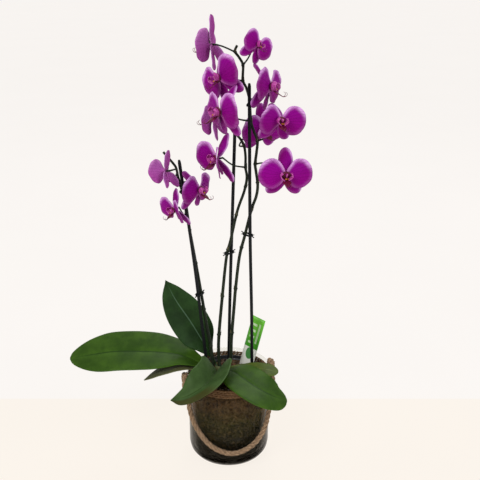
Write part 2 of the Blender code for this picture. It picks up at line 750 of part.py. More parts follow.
def build_lips():
    pattern = united("lip_pattern", lip_pieces(), "lip")
    for number in FLOWERS:
        data = pattern.data.copy()
        data.name = "flower_%02d_lip" % number
        data.transform(face_turn(number))
        place(data.name, data, "lip")
    bpy.data.objects.remove(pattern, do_unlink=True)


# ------------------------------------------------------------------ spikes, stakes, clips, label
def hub_back(number, further):
    """A point behind a flower's hub, on the line that its face looks along."""
    size = FLOWERS[number][4]
    behind = HUB_DEPTH / 2 + (GAP + further) / size
    return face_turn(number) @ Vector((0, behind, 0))


def build_spike(name):
    route = spike_route(name)
    high = route[-1][2] - route[0][2]
    taper = []
    for point in route:
        share = (point[2] - route[0][2]) / high
        taper.append(1 + (STEM_TIP_RADIUS / STEM_FOOT_RADIUS - 1) * share)
    stem = as_mesh(tube(name + "_stem", route, STEM_FOOT_RADIUS, "stem", 1, taper), "stem")
    parts = [stem]
    for height, middles, number in PEDICELS[name]:
        start = at_height(route, placed_height(height))
        near = hub_back(number, 0.006)
        points = [tuple(start)] + placed(middles) + [tuple(near)]
        step = (Vector(points[0]) - Vector(points[-1])).length / 3
        bend = list(smooth_route(points, step)) + [np.array(hub_back(number, 0.0))]
        parts.append(as_mesh(tube("pedicel", bend, PEDICEL_RADIUS, "stem", 1), "stem"))
    return united(name, parts, "stem")


def build_stake(name):
    return tube(name, stake_route(name), STAKE_RADIUS, "stake", 1)


def stadium(a, b, radius, count):
    """Points round two circles of one radius and the straight sides between them."""
    along = (b - a).normalized()
    over = Vector((-along.y, along.x, 0))
    points = []
    for k in range(count):
        turn = 2 * math.pi * (k + 0.5) / count
        middle = b if math.cos(turn) > 0 else a
        points.append(middle + along * (radius * math.cos(turn)) + over * (radius * math.sin(turn)))
    return points


def build_clip(name):
    height, stake, spike = CLIPS[name]
    z = placed_height(height)
    a = Vector(at_height(stake_route(stake), z))
    b = Vector(at_height(spike_route(spike), z))
    inner = max(STEM_FOOT_RADIUS, STAKE_RADIUS + 0.0005) + 0.0007
    outer = inner + 0.0011
    tall = 0.0030
    shape = bmesh.new()
    loops = []
    for radius, level in ((inner, -tall / 2), (inner, tall / 2), (outer, tall / 2), (outer, -tall / 2)):
        ring = [shape.verts.new(p + Vector((0, 0, level))) for p in stadium(a, b, radius, 12)]
        loops.append(ring)
    for low, high in zip(loops, loops[1:] + loops[:1]):
        for k in range(12):
            shape.faces.new((low[k], low[(k + 1) % 12], high[(k + 1) % 12], high[k]))
    ring = place("ring", mesh_from(shape, "ring"), "stake")
    along = (b - a).normalized()
    parts = [ring]
    for end, sign in ((a, -1), (b, 1)):
        shape = bmesh.new()
        bmesh.ops.create_cube(shape, size=1.0)
        bmesh.ops.scale(shape, vec=(0.0036, 0.0012, tall * 0.8), verts=shape.verts)
        turn = Matrix.Rotation(math.atan2(along.y, along.x), 4, "Z")
        shift = Matrix.Translation(end + along * (sign * (outer + 0.0012)))
        bmesh.ops.transform(shape, matrix=shift @ turn, verts=shape.verts)
        parts.append(place("ear", mesh_from(shape, "ear"), "stake"))
    return united(name, parts, "stake")


def label_matrix():
    foot = Vector(placed([(24.5, 31, 122)])[0])
    lean = Matrix.Rotation(math.radians(13.6), 4, "Y")
    turn = Matrix.Rotation(math.radians(-32), 4, "Z")
    return Matrix.Translation(foot) @ lean @ turn


def box_between(name, low, high, kind):
    shape = bmesh.new()
    bmesh.ops.create_cube(shape, size=1.0)
    size = [b - a for a, b in zip(low, high)]
    middle = [(a + b) / 2 for a, b in zip(low, high)]
    bmesh.ops.scale(shape, vec=size, verts=shape.verts)
    bmesh.ops.translate(shape, vec=middle, verts=shape.verts)
    return place(name, mesh_from(shape, name), kind)


def build_label(bark):
    half = LABEL_WIDTH / 2
    thin = LABEL_THICK / 2
    made = box_between("plant_label", (-half, -thin, 0), (half, thin, LABEL_LENGTH), "label")
    made.data.transform(label_matrix())
    edge = POCKET_CLEAR
    low = (-half - edge, -thin - edge, -edge)
    cutter = box_between("label_pocket", low, (half + edge, thin + edge, 0.04), "bark")
    cutter.data.transform(label_matrix())
    boolean(bark, guide(cutter), "DIFFERENCE")


def cut_bark(bark):
    for name in STAKES:
        foot = STAKE_FOOT - POCKET_CLEAR
        cut_pocket(bark, name + "_pocket", STAKE_RADIUS + POCKET_CLEAR, foot, stake_route(name))
    down = np.array([(CROWN_X, CROWN_Y, 0.0), (CROWN_X, CROWN_Y, JAR_HEIGHT + 0.05)])
    cut_pocket(bark, "crown_pocket", CROWN_RADIUS + 0.0009, CROWN_FOOT - POCKET_CLEAR, down)


# ------------------------------------------------------------------ everything in order
def build():
    build_jar()
    build_moss()
    build_pot()
    bark = build_bark()
    cut_bark(bark)
    build_label(bark)
    build_neck_cord()
    build_knots()
    tube("rope_handle", handle_route(), HANDLE_ROPE / 2, "jute", 2)
    build_crown()
    for name in LEAVES:
        build_leaf(name)
    for name in STAKES:
        build_stake(name)
    for name in SPIKES:
        build_spike(name)
    for name in CLIPS:
        build_clip(name)
    for number in FLOWERS:
        build_tepals(number)
    build_lips()


build()
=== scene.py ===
# %% [markdown]
# # A moth orchid in a glass jar
# The CAD part gives every piece its size and place. This lesson builds the look of each piece in
# the same frame: metres, +Z up, the jar's base centred on the origin, the rope handle towards -Y.

# %% Load the part
import math
import random

import bmesh
import bpy
import numpy as np
from mathutils import Matrix, Vector, noise


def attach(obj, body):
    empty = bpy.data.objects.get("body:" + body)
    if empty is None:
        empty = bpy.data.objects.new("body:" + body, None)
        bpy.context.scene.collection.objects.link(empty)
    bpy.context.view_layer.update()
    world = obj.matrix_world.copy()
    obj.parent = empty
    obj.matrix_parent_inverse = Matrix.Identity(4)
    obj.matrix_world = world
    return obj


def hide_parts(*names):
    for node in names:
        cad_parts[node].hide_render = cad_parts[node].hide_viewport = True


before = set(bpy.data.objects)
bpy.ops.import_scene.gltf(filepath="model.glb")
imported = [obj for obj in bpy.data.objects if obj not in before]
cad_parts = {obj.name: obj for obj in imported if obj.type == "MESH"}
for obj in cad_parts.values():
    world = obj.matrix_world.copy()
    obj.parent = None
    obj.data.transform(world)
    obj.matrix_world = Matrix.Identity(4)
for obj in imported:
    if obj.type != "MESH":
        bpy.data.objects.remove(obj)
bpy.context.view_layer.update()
MM = 0.001

# %% [markdown]
# ## Camera
# The camera stands a little above the flowers and looks down on the jar. It comes first, so that
# every later piece can be judged in it.

# %% Camera
def new_object(name, data):
    """An object at the origin for some data, linked into the scene."""
    made = bpy.data.objects.new(name, data)
    bpy.context.scene.collection.objects.link(made)
    return made


camera = new_object("camera", bpy.data.cameras.new("camera"))
camera.location = (0.018, -1.110, 0.780)
camera.rotation_euler = (math.radians(69.4), 0.0, 0.0)
camera.data.lens = 60.0
camera.data.sensor_width = 36.0
bpy.context.scene.camera = camera
bpy.context.scene.view_settings.view_transform = "Standard"
print("camera at", tuple(round(v, 3) for v in camera.location), "with a", camera.data.lens, "mm lens")

# %% [markdown]
# ## Finishes
# A finish is a node material. Sums on sockets are written as plain Python: `Wire` wraps a socket
# and adds a Math node for each operator. `Finish` owns the material and adds every other node.


# %% A socket that can be added and multiplied
class Wire:
    def __init__(self, tree, socket):
        self.tree = tree
        self.socket = socket

    def math(self, operation, *values):
        made = self.tree.nodes.new("ShaderNodeMath")
        made.operation = operation
        for socket, value in zip(made.inputs, values):
            if isinstance(value, Wire):
                self.tree.links.new(value.socket, socket)
            else:
                socket.default_value = value
        return Wire(self.tree, made.outputs[0])

    def __add__(self, other):
        return self.math("ADD", self, other)

    def __radd__(self, other):
        return self.math("ADD", other, self)

    def __sub__(self, other):
        return self.math("SUBTRACT", self, other)

    def __rsub__(self, other):
        return self.math("SUBTRACT", other, self)

    def __mul__(self, other):
        return self.math("MULTIPLY", self, other)

    def __rmul__(self, other):
        return self.math("MULTIPLY", other, self)

    def __truediv__(self, other):
        return self.math("DIVIDE", self, other)

    def __pow__(self, other):
        return self.math("POWER", self, other)

    def abs(self):
        return self.math("ABSOLUTE", self)

    def sine(self):
        return self.math("SINE", self)

    def above(self, low, high):
        """0 below low, 1 above high, and smooth between."""
        made = self.tree.nodes.new("ShaderNodeMapRange")
        made.interpolation_type = "SMOOTHSTEP"
        self.tree.links.new(self.socket, made.inputs["Value"])
        made.inputs["From Min"].default_value = low
        made.inputs["From Max"].default_value = high
        return Wire(self.tree, made.outputs["Result"])

    def below(self, low, high):
        return 1 - self.above(low, high)


# %% A material and its nodes
class Finish:
    def __init__(self, name, **fixed):
        self.material = bpy.data.materials.new(name)
        self.material.use_nodes = True
        self.tree = self.material.node_tree
        self.shader = self.tree.nodes["Principled BSDF"]
        for socket, value in fixed.items():
            self.shader.inputs[socket.replace("_", " ")].default_value = value
        print("finish", name)

    def node(self, kind, settings=None, values=None, out=0):
        """Adds one node: its settings first, then the values or wires of its sockets."""
        made = self.tree.nodes.new(kind)
        for key, value in (settings or {}).items():
            if key == "stops":
                self.stops(made, value)
            else:
                setattr(made, key, value)
        for key, value in (values or {}).items():
            if isinstance(value, Wire):
                self.tree.links.new(value.socket, made.inputs[key])
            else:
                made.inputs[key].default_value = value
        return Wire(self.tree, made.outputs[out])

    def stops(self, ramp, stops):
        band = ramp.color_ramp
        while len(band.elements) < len(stops):
            band.elements.new(0.5)
        for element, (at, colour) in zip(band.elements, stops):
            element.position = at
            element.color = (*colour, 1.0)

    def place(self, kind="Object"):
        return self.node("ShaderNodeTexCoord", out=kind)

    def axis(self, letter, kind="Object"):
        return self.node("ShaderNodeSeparateXYZ", values={0: self.place(kind)}, out=letter)

    def noise(self, scale, detail=4.0, rough=0.55, where=None, distort=0.0):
        values = {"Vector": where or self.place(), "Scale": scale, "Detail": detail}
        values.update({"Roughness": rough, "Distortion": distort})
        return self.node("ShaderNodeTexNoise", values=values, out="Fac")

    def stretched(self, size, kind="Object"):
        """The place, stretched for grain that runs one way."""
        values = {"Vector": self.place(kind), "Scale": size}
        return self.node("ShaderNodeMapping", values=values, out="Vector")

    def cells(self, scale):
        """A random colour for each small cell of space."""
        values = {"Vector": self.place(), "Scale": scale}
        return self.node("ShaderNodeTexVoronoi", values=values, out="Color")

    def ramp(self, wire, stops):
        return self.node("ShaderNodeValToRGB", {"stops": stops}, {"Fac": wire}, "Color")

    def mix(self, share, first, second, blend="MIX"):
        settings = {"data_type": "RGBA", "blend_type": blend}
        first = first if isinstance(first, Wire) else (*first, 1.0)
        second = second if isinstance(second, Wire) else (*second, 1.0)
        return self.node("ShaderNodeMix", settings, {0: share, 6: first, 7: second}, 2)

    def bump(self, height, strength, distance):
        """A bump that feeds Normal, on top of any bump made before."""
        values = {"Height": height, "Strength": strength, "Distance": distance}
        bent = self.node("ShaderNodeBump", values=values, out="Normal")
        old = self.shader.inputs["Normal"].links
        if old:
            self.tree.links.new(old[0].from_socket, bent.socket.node.inputs["Normal"])
        self.feed("Normal", bent)

    def feed(self, socket, wire):
        self.tree.links.new(wire.socket, self.shader.inputs[socket])


# %% [markdown]
# ## Helpers for shapes
# Three ways of making cover most of the plant. Turned pieces are a profile that is spun. Blades are
# a grid whose corners are moved. Rods are curves with a round bevel, made into a mesh, with a
# radius at each point so that a stalk can swell at its nodes.


# %% Routes
def smooth_route(points, spacing):
    """Even points along a Catmull-Rom curve through the given ones (all in metres)."""
    p = [np.array(q, float) for q in points]
    p = [2 * p[0] - p[1]] + p + [2 * p[-1] - p[-2]]
    fine = []
    for a, b, c, d in zip(p, p[1:], p[2:], p[3:]):
        for t in np.linspace(0, 1, 24, endpoint=False):
            fine.append(0.5 * (2 * b + (c - a) * t + (2 * a - 5 * b + 4 * c - d) * t * t
                               + (3 * b - a - 3 * c + d) * t ** 3))
    fine = np.array(fine + [p[-2]])
    along = np.concatenate([[0], np.cumsum(np.linalg.norm(np.diff(fine, axis=0), axis=1))])
    count = max(2, round(along[-1] / spacing) + 1)
    at = np.linspace(0, along[-1], count)
    return np.stack([np.interp(at, along, fine[:, k]) for k in range(3)], axis=1)


def in_metres(points):
    """Points given in millimetres, in metres."""
    return [tuple(v * MM for v in p) for p in points]


def at_height(route, height):
    """The point of a rising route at one height."""
    order = np.argsort(route[:, 2])
    return np.array([np.interp(height, route[order, 2], route[order, k]) for k in range(3)])


# %% Meshes, bmeshes and rods
def shape_of(mesh):
    """A bmesh that holds a copy of a mesh."""
    shape = bmesh.new()
    shape.from_mesh(mesh)
    return shape


def mesh_of(name, shape):
    """A new mesh made of a bmesh, which is used up."""
    data = bpy.data.meshes.new(name)
    shape.to_mesh(data)
    shape.free()
    return data


def faces_of(corners):
    """The faces round some corners, each once and in a steady order."""
    return list(dict.fromkeys(face for corner in corners for face in corner.link_faces))


def rod_mesh(name, rods, sides=2):
    """One mesh of many round rods: (route, radii, material index, closed) each."""
    data = bpy.data.curves.new(name, "CURVE")
    data.dimensions = "3D"
    data.bevel_depth = 1.0
    data.bevel_resolution = sides
    data.use_fill_caps = True
    for route, radii, slot, closed in rods:
        spline = data.splines.new("POLY")
        spline.points.add(len(route) - 1)
        spline.material_index = slot
        spline.use_cyclic_u = closed
        spline.use_smooth = True
        for k, point in enumerate(route):
            spline.points[k].co = (*point, 1.0)
            spline.points[k].radius = radii[k] if hasattr(radii, "__len__") else radii
    for _ in range(1 + max(rod[2] for rod in rods)):
        data.materials.append(None)
    curve = new_object(name, data)
    bpy.context.view_layer.update()
    shown = curve.evaluated_get(bpy.context.evaluated_depsgraph_get())
    mesh = bpy.data.meshes.new_from_object(shown)
    bpy.data.objects.remove(curve, do_unlink=True)
    bpy.data.curves.remove(data)
    shape = shape_of(mesh)
    bmesh.ops.remove_doubles(shape, verts=shape.verts, dist=1e-7)
    shape.to_mesh(mesh)
    shape.free()
    return mesh


# %% From a mesh to a finished piece
def finish_piece(name, shape, finishes, replaced=(), smooth=True):
    """Makes an object of a bmesh or mesh, with its finishes, riding on the part's one body."""
    data = mesh_of(name, shape) if isinstance(shape, bmesh.types.BMesh) else shape
    slots = [face.material_index for face in data.polygons]
    data.materials.clear()
    for made in finishes:
        data.materials.append(made.material)
    data.polygons.foreach_set("material_index", slots)
    if smooth:
        data.polygons.foreach_set("use_smooth", [True] * len(data.polygons))
    piece = new_object(name, data)
    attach(piece, "root")
    if replaced:
        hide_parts(*replaced)
    print(name, len(data.polygons), "faces")
    return piece


# %% Turned pieces, lumps and walls
def lathe(profile, steps=96):
    """Spins a profile of (radius, height) points about Z."""
    shape = bmesh.new()
    line = [shape.verts.new((r, 0.0, z)) for r, z in profile]
    edges = [shape.edges.new(pair) for pair in zip(line, line[1:])]
    bmesh.ops.spin(shape, geom=line + edges, cent=(0, 0, 0), axis=(0, 0, 1), angle=2 * math.pi,
                   steps=steps, use_merge=True)
    bmesh.ops.remove_doubles(shape, verts=shape.verts, dist=1e-6)
    bmesh.ops.recalc_face_normals(shape, faces=shape.faces)
    return shape


def rounded(profile, radius, steps=4):
    """The same profile with each inner corner rounded."""
    p = [np.array(q, float) for q in profile]
    made = [p[0]]
    for a, b, c in zip(p, p[1:], p[2:]):
        reach = min(radius, np.linalg.norm(a - b) * 0.45, np.linalg.norm(c - b) * 0.45)
        start = b + (a - b) / np.linalg.norm(a - b) * reach
        end = b + (c - b) / np.linalg.norm(c - b) * reach
        for t in np.linspace(0, 1, steps):
            made.append((1 - t) ** 2 * start + 2 * t * (1 - t) * b + t * t * end)
    return made + [p[-1]]


def ball(shape, centre, radii, slot, rings=12):
    """A rounded lump inside a bmesh."""
    made = bmesh.ops.create_uvsphere(shape, u_segments=rings + 4, v_segments=rings, radius=1.0)["verts"]
    bmesh.ops.scale(shape, vec=radii, verts=made)
    bmesh.ops.translate(shape, vec=centre, verts=made)
    for face in faces_of(made):
        face.material_index = slot


def thicken(piece, thickness, under=0):
    """A live wall on a sheet; under is how many slots further the lower side's finish is."""
    wall = piece.modifiers.new("wall", "SOLIDIFY")
    wall.thickness = thickness
    wall.offset = 0.0
    wall.use_even_offset = False
    wall.material_offset = under


# %% [markdown]
# ## The rope handle
# The handle is a length of twisted jute that hangs free across the front, from a knot at the left
# of the neck to one at the right. A plain tube with a rope pattern on it would look smooth at its
# edge, so three real strands wind round the route, and loose fibres stand off them.

# %% Jute
def jute_finish(name, light, dark):
    made = Finish(name, Specular_IOR_Level=0.08, Sheen_Weight=0.08)
    fibres = made.noise(1500, 3, 0.7)
    broad = made.noise(330, 4, 0.65)
    fine = made.noise(5200, 2, 0.6)
    colour = made.mix(fibres.above(0.30, 0.70), dark, light)
    colour = made.mix(broad.above(0.50, 0.66) * 0.60, colour, tuple(v * 0.5 for v in dark))
    colour = made.mix(broad.below(0.34, 0.46) * 0.50, colour, tuple(v * 1.35 for v in light))
    made.feed("Base Color", colour)
    made.feed("Roughness", 0.80 + fine * 0.15)
    made.bump(fibres, 0.7, 0.0004)
    made.bump(fine, 0.4, 0.0001)
    return made


jute = jute_finish("jute", (0.390, 0.265, 0.165), (0.130, 0.078, 0.045))
jute_brown = jute_finish("jute_neck", (0.230, 0.130, 0.062), (0.085, 0.042, 0.018))


# %% Twisted strands
def side_frames(route):
    """Two directions across a route at each point, turned as little as possible along it."""
    ahead = np.gradient(route, axis=0)
    ahead /= np.linalg.norm(ahead, axis=1)[:, None]
    side = np.cross(ahead[0], (0.3, 0.5, 0.8))
    frames = []
    for way in ahead:
        side = side - way * side.dot(way)
        side /= np.linalg.norm(side)
        frames.append((side, np.cross(way, side)))
    return frames


STRAND_OUT = 0.268
STRAND_RADIUS = 0.245
FIBRE_RADII = [0.00009, 0.00008, 0.00006, 0.00002]


def strands(route, diameter, lay, count=3, ease=1.0):
    """Strands that wind round a route once every lay metres, as rods."""
    out = STRAND_OUT * diameter
    radius = STRAND_RADIUS * diameter * ease
    step = np.linalg.norm(route[1] - route[0])
    frames = side_frames(route)
    made = []
    for k in range(count):
        turn = 2 * math.pi * (np.arange(len(route)) * step / lay + k / count)
        points = [p + (a * math.cos(t) + b * math.sin(t)) * out
                  for p, (a, b), t in zip(route, frames, turn)]
        wander = [1 + 0.06 * math.sin(t * 1.7 + k) for t in turn]
        made.append((points, [radius * w for w in wander], 0, False))
    return made


def fuzz(route, diameter, count, seed, longest=0.0045):
    """Loose fibres that leave the surface of a rope."""
    rng = random.Random(seed)
    frames = side_frames(route)
    made = []
    for _ in range(count):
        k = rng.randrange(2, len(route) - 2)
        a, b = frames[k]
        t = rng.uniform(0, 2 * math.pi)
        across = a * math.cos(t) + b * math.sin(t)
        way = route[k + 1] - route[k - 1]
        way = way / np.linalg.norm(way) * rng.choice((-1, 1))
        long = rng.uniform(0.3, 1.0) * longest
        base = route[k] + across * diameter * 0.44
        bend = [base + way * long * s + across * long * 0.42 * s ** rng.uniform(0.8, 2.2)
                for s in (0, 0.35, 0.7, 1)]
        made.append((bend, FIBRE_RADII, 0, False))
    return made


# %% The handle's route: angle round the jar (degrees), height and distance further out (mm)
JAR_RADIUS = 0.0635
HANDLE_ROPE = 0.0080
HANDLE_CLEAR = 0.0013
HANDLE_LAY = 0.026
HANDLE_FIBRES = 420
HANDLE_ROUTE = [
    (189, 126.6, 2.2), (196, 118, 1.0), (204, 106, 0), (209, 91, 0), (218, 76, 0), (229, 63, 0),
    (240, 52, 0), (251, 44, 0), (262, 39, 0), (274, 36, 0), (288, 38, 0), (303, 44, 0), (317, 54, 0),
    (327, 66, 0), (334, 80, 0), (341, 96, 0), (350, 111, 0.6), (3, 124, 1.4), (15, 133.4, 2.6),
]


def round_jar(angle, height, radius):
    """A point at an angle round the jar, a height and a distance from its middle."""
    turn = math.radians(angle)
    return (radius * math.cos(turn), radius * math.sin(turn), height)


rope_radius = JAR_RADIUS + HANDLE_ROPE / 2 + HANDLE_CLEAR
rope_points = [round_jar(a, z * MM, rope_radius + extra * MM) for a, z, extra in HANDLE_ROUTE]
rope_line = smooth_route(rope_points, 0.0012)
rope_path = smooth_route(rope_points, 0.008)
print("handle route", len(rope_path), "points, lowest", round(float(rope_path[:, 2].min()), 4), "m")

# %% The handle, hanging from its two knots
twist = rod_mesh("handle_twist", strands(rope_line, HANDLE_ROPE, HANDLE_LAY), 3)
handle = finish_piece("handle_twist", twist, [jute], ["rope_handle"])
loose = rod_mesh("handle_fibres", fuzz(rope_line, HANDLE_ROPE, HANDLE_FIBRES, 3), 0)
handle_fuzz = finish_piece("handle_fibres", loose, [jute])

# %% [markdown]
# ## The cord round the neck, and the knots
# Four turns of thinner jute are pressed together round the neck, and the handle's ends are tied to
# them. One long helix would leave two cut ends, so each turn is its own closed ring of two strands.
# A knot is a short coil of cord round a core.

# %% Neck cord
NECK_RADIUS = 0.0605
NECK_CLEAR = 0.0006
NECK_CORD = 0.0034
NECK_FOOT = 0.1299
NECK_TURNS = 4
NECK_TWISTS = 34
NECK_STRAND_OUT = 0.20
NECK_STRAND_RADIUS = 0.31
ring_radius = NECK_RADIUS + NECK_CLEAR + NECK_CORD / 2
neck_rods = []
neck_fibres = []
for turn in range(NECK_TURNS):
    height = NECK_FOOT + (turn + 0.5) * NECK_CORD
    angles = np.linspace(0, 2 * math.pi, 420, endpoint=False)
    ring = np.array([(ring_radius * math.cos(a), ring_radius * math.sin(a), height) for a in angles])
    for k in range(2):
        twist = angles * NECK_TWISTS + k * math.pi + turn
        points = []
        for p, a, t in zip(ring, angles, twist):
            away = np.array((math.cos(a), math.sin(a), 0)) * math.cos(t) + np.array((0, 0, 1)) * math.sin(t)
            points.append(p + away * NECK_CORD * NECK_STRAND_OUT)
        neck_rods.append((points, NECK_CORD * NECK_STRAND_RADIUS, 0, True))
    neck_fibres += fuzz(ring, NECK_CORD, 90, 20 + turn, 0.0035)
finish_piece("neck_cord", rod_mesh("neck_cord", neck_rods, 1), [jute_brown], ["neck_rope"])
finish_piece("neck_fibres", rod_mesh("neck_fibres", neck_fibres, 0), [jute])

# %% Knots: side, angle (degrees), height (mm), distance further out (mm) and plumpness
KNOTS = (("left", 189, 137.0, 0.0, 1.05), ("right", 17, 143.5, 1.2, 1.25))
KNOT_DEEP = 0.0031
KNOT_WIDE = 0.0054
KNOT_HEIGHT = 0.0125
KNOT_CORD = 0.0046
CORE_CORD = 0.0076
CORE_HALF = 0.0062
KNOT_OUT = NECK_RADIUS + NECK_CLEAR + NECK_CORD + 0.0044 + 0.0003
WOUND = 3.6 * 2 * math.pi
for name, angle, height, extra, plump in KNOTS:
    middle = np.array(round_jar(angle, height * MM, KNOT_OUT + extra * MM))
    away = middle * (1, 1, 0) / np.linalg.norm(middle[:2])
    aside = np.cross((0, 0, 1), away)
    coil = []
    for t in np.linspace(0, WOUND, 130):
        up = (t / WOUND - 0.5) * KNOT_HEIGHT
        pinch = plump * (0.80 + 0.20 * math.cos(up / KNOT_WIDE * 1.3))
        across = away * math.cos(t) * KNOT_DEEP * pinch + aside * math.sin(t) * KNOT_WIDE * pinch
        coil.append(middle + across + np.array((0, 0, up)))
    coil = np.array(coil)
    core = np.array([middle + np.array((0, 0, h)) for h in np.linspace(-CORE_HALF, CORE_HALF, 12)])
    parts = strands(coil, KNOT_CORD, 0.013, 2, 1.25) + strands(core, CORE_CORD, 0.02, 3)
    parts += fuzz(coil, 0.0036, 60, 40 + angle, 0.004)
    finish_piece("knot_" + name, rod_mesh("knot_" + name, parts, 2), [jute], ["handle_knot_" + name])

# %% [markdown]
# ## The glass jar
# The jar is pressed glass with a heavy foot, a drawn-in neck and a rolled lip. Its profile is spun.
# Thin clear glass is best shown as a see-through body under a mirror-like skin that grows towards the
# grazing angles, so that the moss behind it stays clear of grain. The thick foot is painted shade, an
# opaque layer from near black to brown, and the sides at grazing angles carry the same layer as
# painted refraction, standing in for the moss that thick glass bends into them.

# %% Two shaders in one finish
def layered(finish, share, under, over):
    """One shader laid over another, as far as the share says."""
    made = finish.tree.nodes.new("ShaderNodeMixShader")
    finish.tree.links.new(share.socket, made.inputs[0])
    finish.tree.links.new(under.outputs[0], made.inputs[1])
    finish.tree.links.new(over.outputs[0], made.inputs[2])
    return made


# %% Glass
glass = Finish("glass", Base_Color=(0.46, 0.43, 0.38, 1.0), Roughness=0.07, Metallic=1.0)
clear = glass.tree.nodes.new("ShaderNodeBsdfTransparent")
clear.inputs["Color"].default_value = (0.94, 0.94, 0.92, 1.0)
# An opaque layer in place of thick glass: painted shade at the foot and painted refraction of the moss at the
# grazing sides.
painted_depth_layer = glass.tree.nodes.new("ShaderNodeBsdfPrincipled")
# Its colour runs from near black at the foot, which is painted shade, to moss brown higher up, which is
# painted refraction, with noise.
painted_depth_level = glass.axis("Z").above(0.020, 0.110) + (glass.noise(190, 4, 0.7) - 0.5) * 1.1
painted_depth_colour = glass.ramp(painted_depth_level, [(0.10, (0.008, 0.006, 0.003)), (0.45, (0.040, 0.030, 0.011)),
                           (0.95, (0.150, 0.088, 0.040))])
glass.tree.links.new(painted_depth_colour.socket, painted_depth_layer.inputs["Base Color"])
painted_depth_layer.inputs["Roughness"].default_value = 0.25
painted_depth_layer.inputs["Specular IOR Level"].default_value = 0.10
glass.bump(glass.noise(26, 2, 0.4), 0.12, 0.002)
grazing = glass.node("ShaderNodeLayerWeight", values={"Blend": 0.5}, out="Facing")
smudge = glass.noise(60, 4, 0.6).above(0.5, 0.8) * 0.02
# The opaque layer covers the foot as painted shade, and the grazing sides below the neck as painted
# refraction.
foot = glass.axis("Z").below(0.007, 0.016)
sides = grazing.above(0.52, 0.74) * glass.axis("Z").below(0.120, 0.130)
body = layered(glass, foot.math("MAXIMUM", foot, sides), clear, painted_depth_layer)
skin = layered(glass, grazing ** 4.0 * 0.22 + smudge + 0.012, body, glass.shader)
glass.tree.links.new(skin.outputs[0], glass.tree.nodes["Material Output"].inputs["Surface"])

# %% The jar
WALL = 0.0035
inner = JAR_RADIUS - WALL
neck_in = NECK_RADIUS - WALL
jar_profile = [
    (0.0, 0.005), (0.041, 0.005), (0.0515, 0.0092), (inner - 0.0012, 0.0165), (inner, 0.024),
    (inner, 0.122), (neck_in, 0.1285), (neck_in, 0.145), (0.0615, 0.149), (0.0630, 0.150),
    (0.0655, 0.1492), (0.0665, 0.1472), (0.0653, 0.1454), (NECK_RADIUS, 0.144), (NECK_RADIUS, 0.1295),
    (JAR_RADIUS, 0.124), (JAR_RADIUS, 0.022), (0.0618, 0.0125), (0.0570, 0.0058), (0.0505, 0.0016),
    (0.042, 0.0), (0.0, 0.0),
]
finish_piece("jar_glass", lathe(rounded(jar_profile, 0.0025)), [glass], ["glass_jar"])

# %% [markdown]
# ## Moss between the jar and the pot
# Dry moss fills the jar round the pot. It is reddish at the top, olive lower down and nearly black
# towards the foot. A spun body carries the colour, and flattened fibres lie against the glass.

# %% Moss
moss = Finish("moss", Specular_IOR_Level=0.05)
rise = moss.axis("Z").above(0.018, 0.125)
clumps = moss.noise(55, 5, 0.65)
tufts = moss.noise(240, 5, 0.75, distort=1.2)
threads = moss.noise(900, 4, 0.7, distort=1.5)
level = rise + (clumps - 0.5) * 0.9
tone = moss.ramp(level, [(0.10, (0.004, 0.004, 0.002)), (0.38, (0.014, 0.014, 0.004)),
                         (0.62, (0.026, 0.026, 0.005)), (0.85, (0.050, 0.030, 0.009)),
                         (1.0, (0.080, 0.040, 0.015))])
tone = moss.mix(tufts.above(0.54, 0.64), tone, (0.150, 0.096, 0.038))
tone = moss.mix(tufts.below(0.42, 0.50) * 0.92, tone, (0.004, 0.003, 0.002))
# Darker still towards the foot.
tone = moss.mix(rise.below(0.0, 0.30) * 0.8, tone, (0.005, 0.004, 0.002))
tone = moss.mix(threads.above(0.52, 0.68) * 0.6, tone, tone, "ADD")
moss.feed("Base Color", tone)
moss.feed("Roughness", 0.75 + threads * 0.2)
moss.bump(clumps, 0.8, 0.003)
moss.bump(tufts, 0.9, 0.0016)

# %% The body of moss
POT_FOOT = 0.0266
POT_FOOT_RADIUS = 0.0430
POT_RIM_RADIUS = 0.0542
POT_TOP = 0.1410
POT_STEP = POT_TOP - 0.007
MOSS_INSIDE = 0.0556
MOSS_STEP = 0.0035
wide = inner - 0.0012
moss_profile = [
    (0.0, POT_FOOT - 0.0006), (POT_FOOT_RADIUS + 0.0006, POT_FOOT - 0.0006), (0.0533, POT_STEP - 0.002),
    (POT_RIM_RADIUS + 0.0003, POT_STEP), (POT_RIM_RADIUS + 0.0003, 0.1380), (MOSS_INSIDE, 0.1386),
    (neck_in - 0.0006, 0.137), (neck_in - 0.0008, 0.128), (wide, 0.1205), (wide, 0.025),
    (wide - 0.002, 0.0180), (0.0505, 0.0102), (0.040, 0.0058), (0.0, 0.0056),
]
fine_moss = [moss_profile[0]]
for a, b in zip(moss_profile, moss_profile[1:]):
    cuts = max(1, round(math.dist(a, b) / MOSS_STEP))
    fine_moss += [tuple(np.array(a) + (np.array(b) - np.array(a)) * k / cuts) for k in range(1, cuts + 1)]
shape = lathe(fine_moss, 120)
for corner in shape.verts:
    out = math.hypot(corner.co.x, corner.co.y)
    if out > MOSS_INSIDE:
        push = noise.noise(corner.co * 160) * 0.0009 + noise.noise(corner.co * 420) * 0.0005
        corner.co.x *= 1 + (push - 0.0003) / out
        corner.co.y *= 1 + (push - 0.0003) / out
finish_piece("moss_body", shape, [moss], ["moss_lining"])

# %% Moss fibre
moss_fibre = Finish("moss_fibre", Specular_IOR_Level=0.05)
height = moss_fibre.axis("Z").above(0.020, 0.13)
speckle = moss_fibre.noise(300, 3, 0.6)
fibre_tone = moss_fibre.ramp(height + (speckle - 0.5) * 0.9,
                             [(0.05, (0.006, 0.005, 0.003)), (0.35, (0.045, 0.036, 0.010)),
                              (0.65, (0.115, 0.088, 0.028)), (1.0, (0.240, 0.140, 0.068))])
moss_fibre.feed("Base Color", fibre_tone)
moss_fibre.feed("Roughness", 0.7 + speckle * 0.25)
moss_fibre.bump(speckle, 0.5, 0.0003)

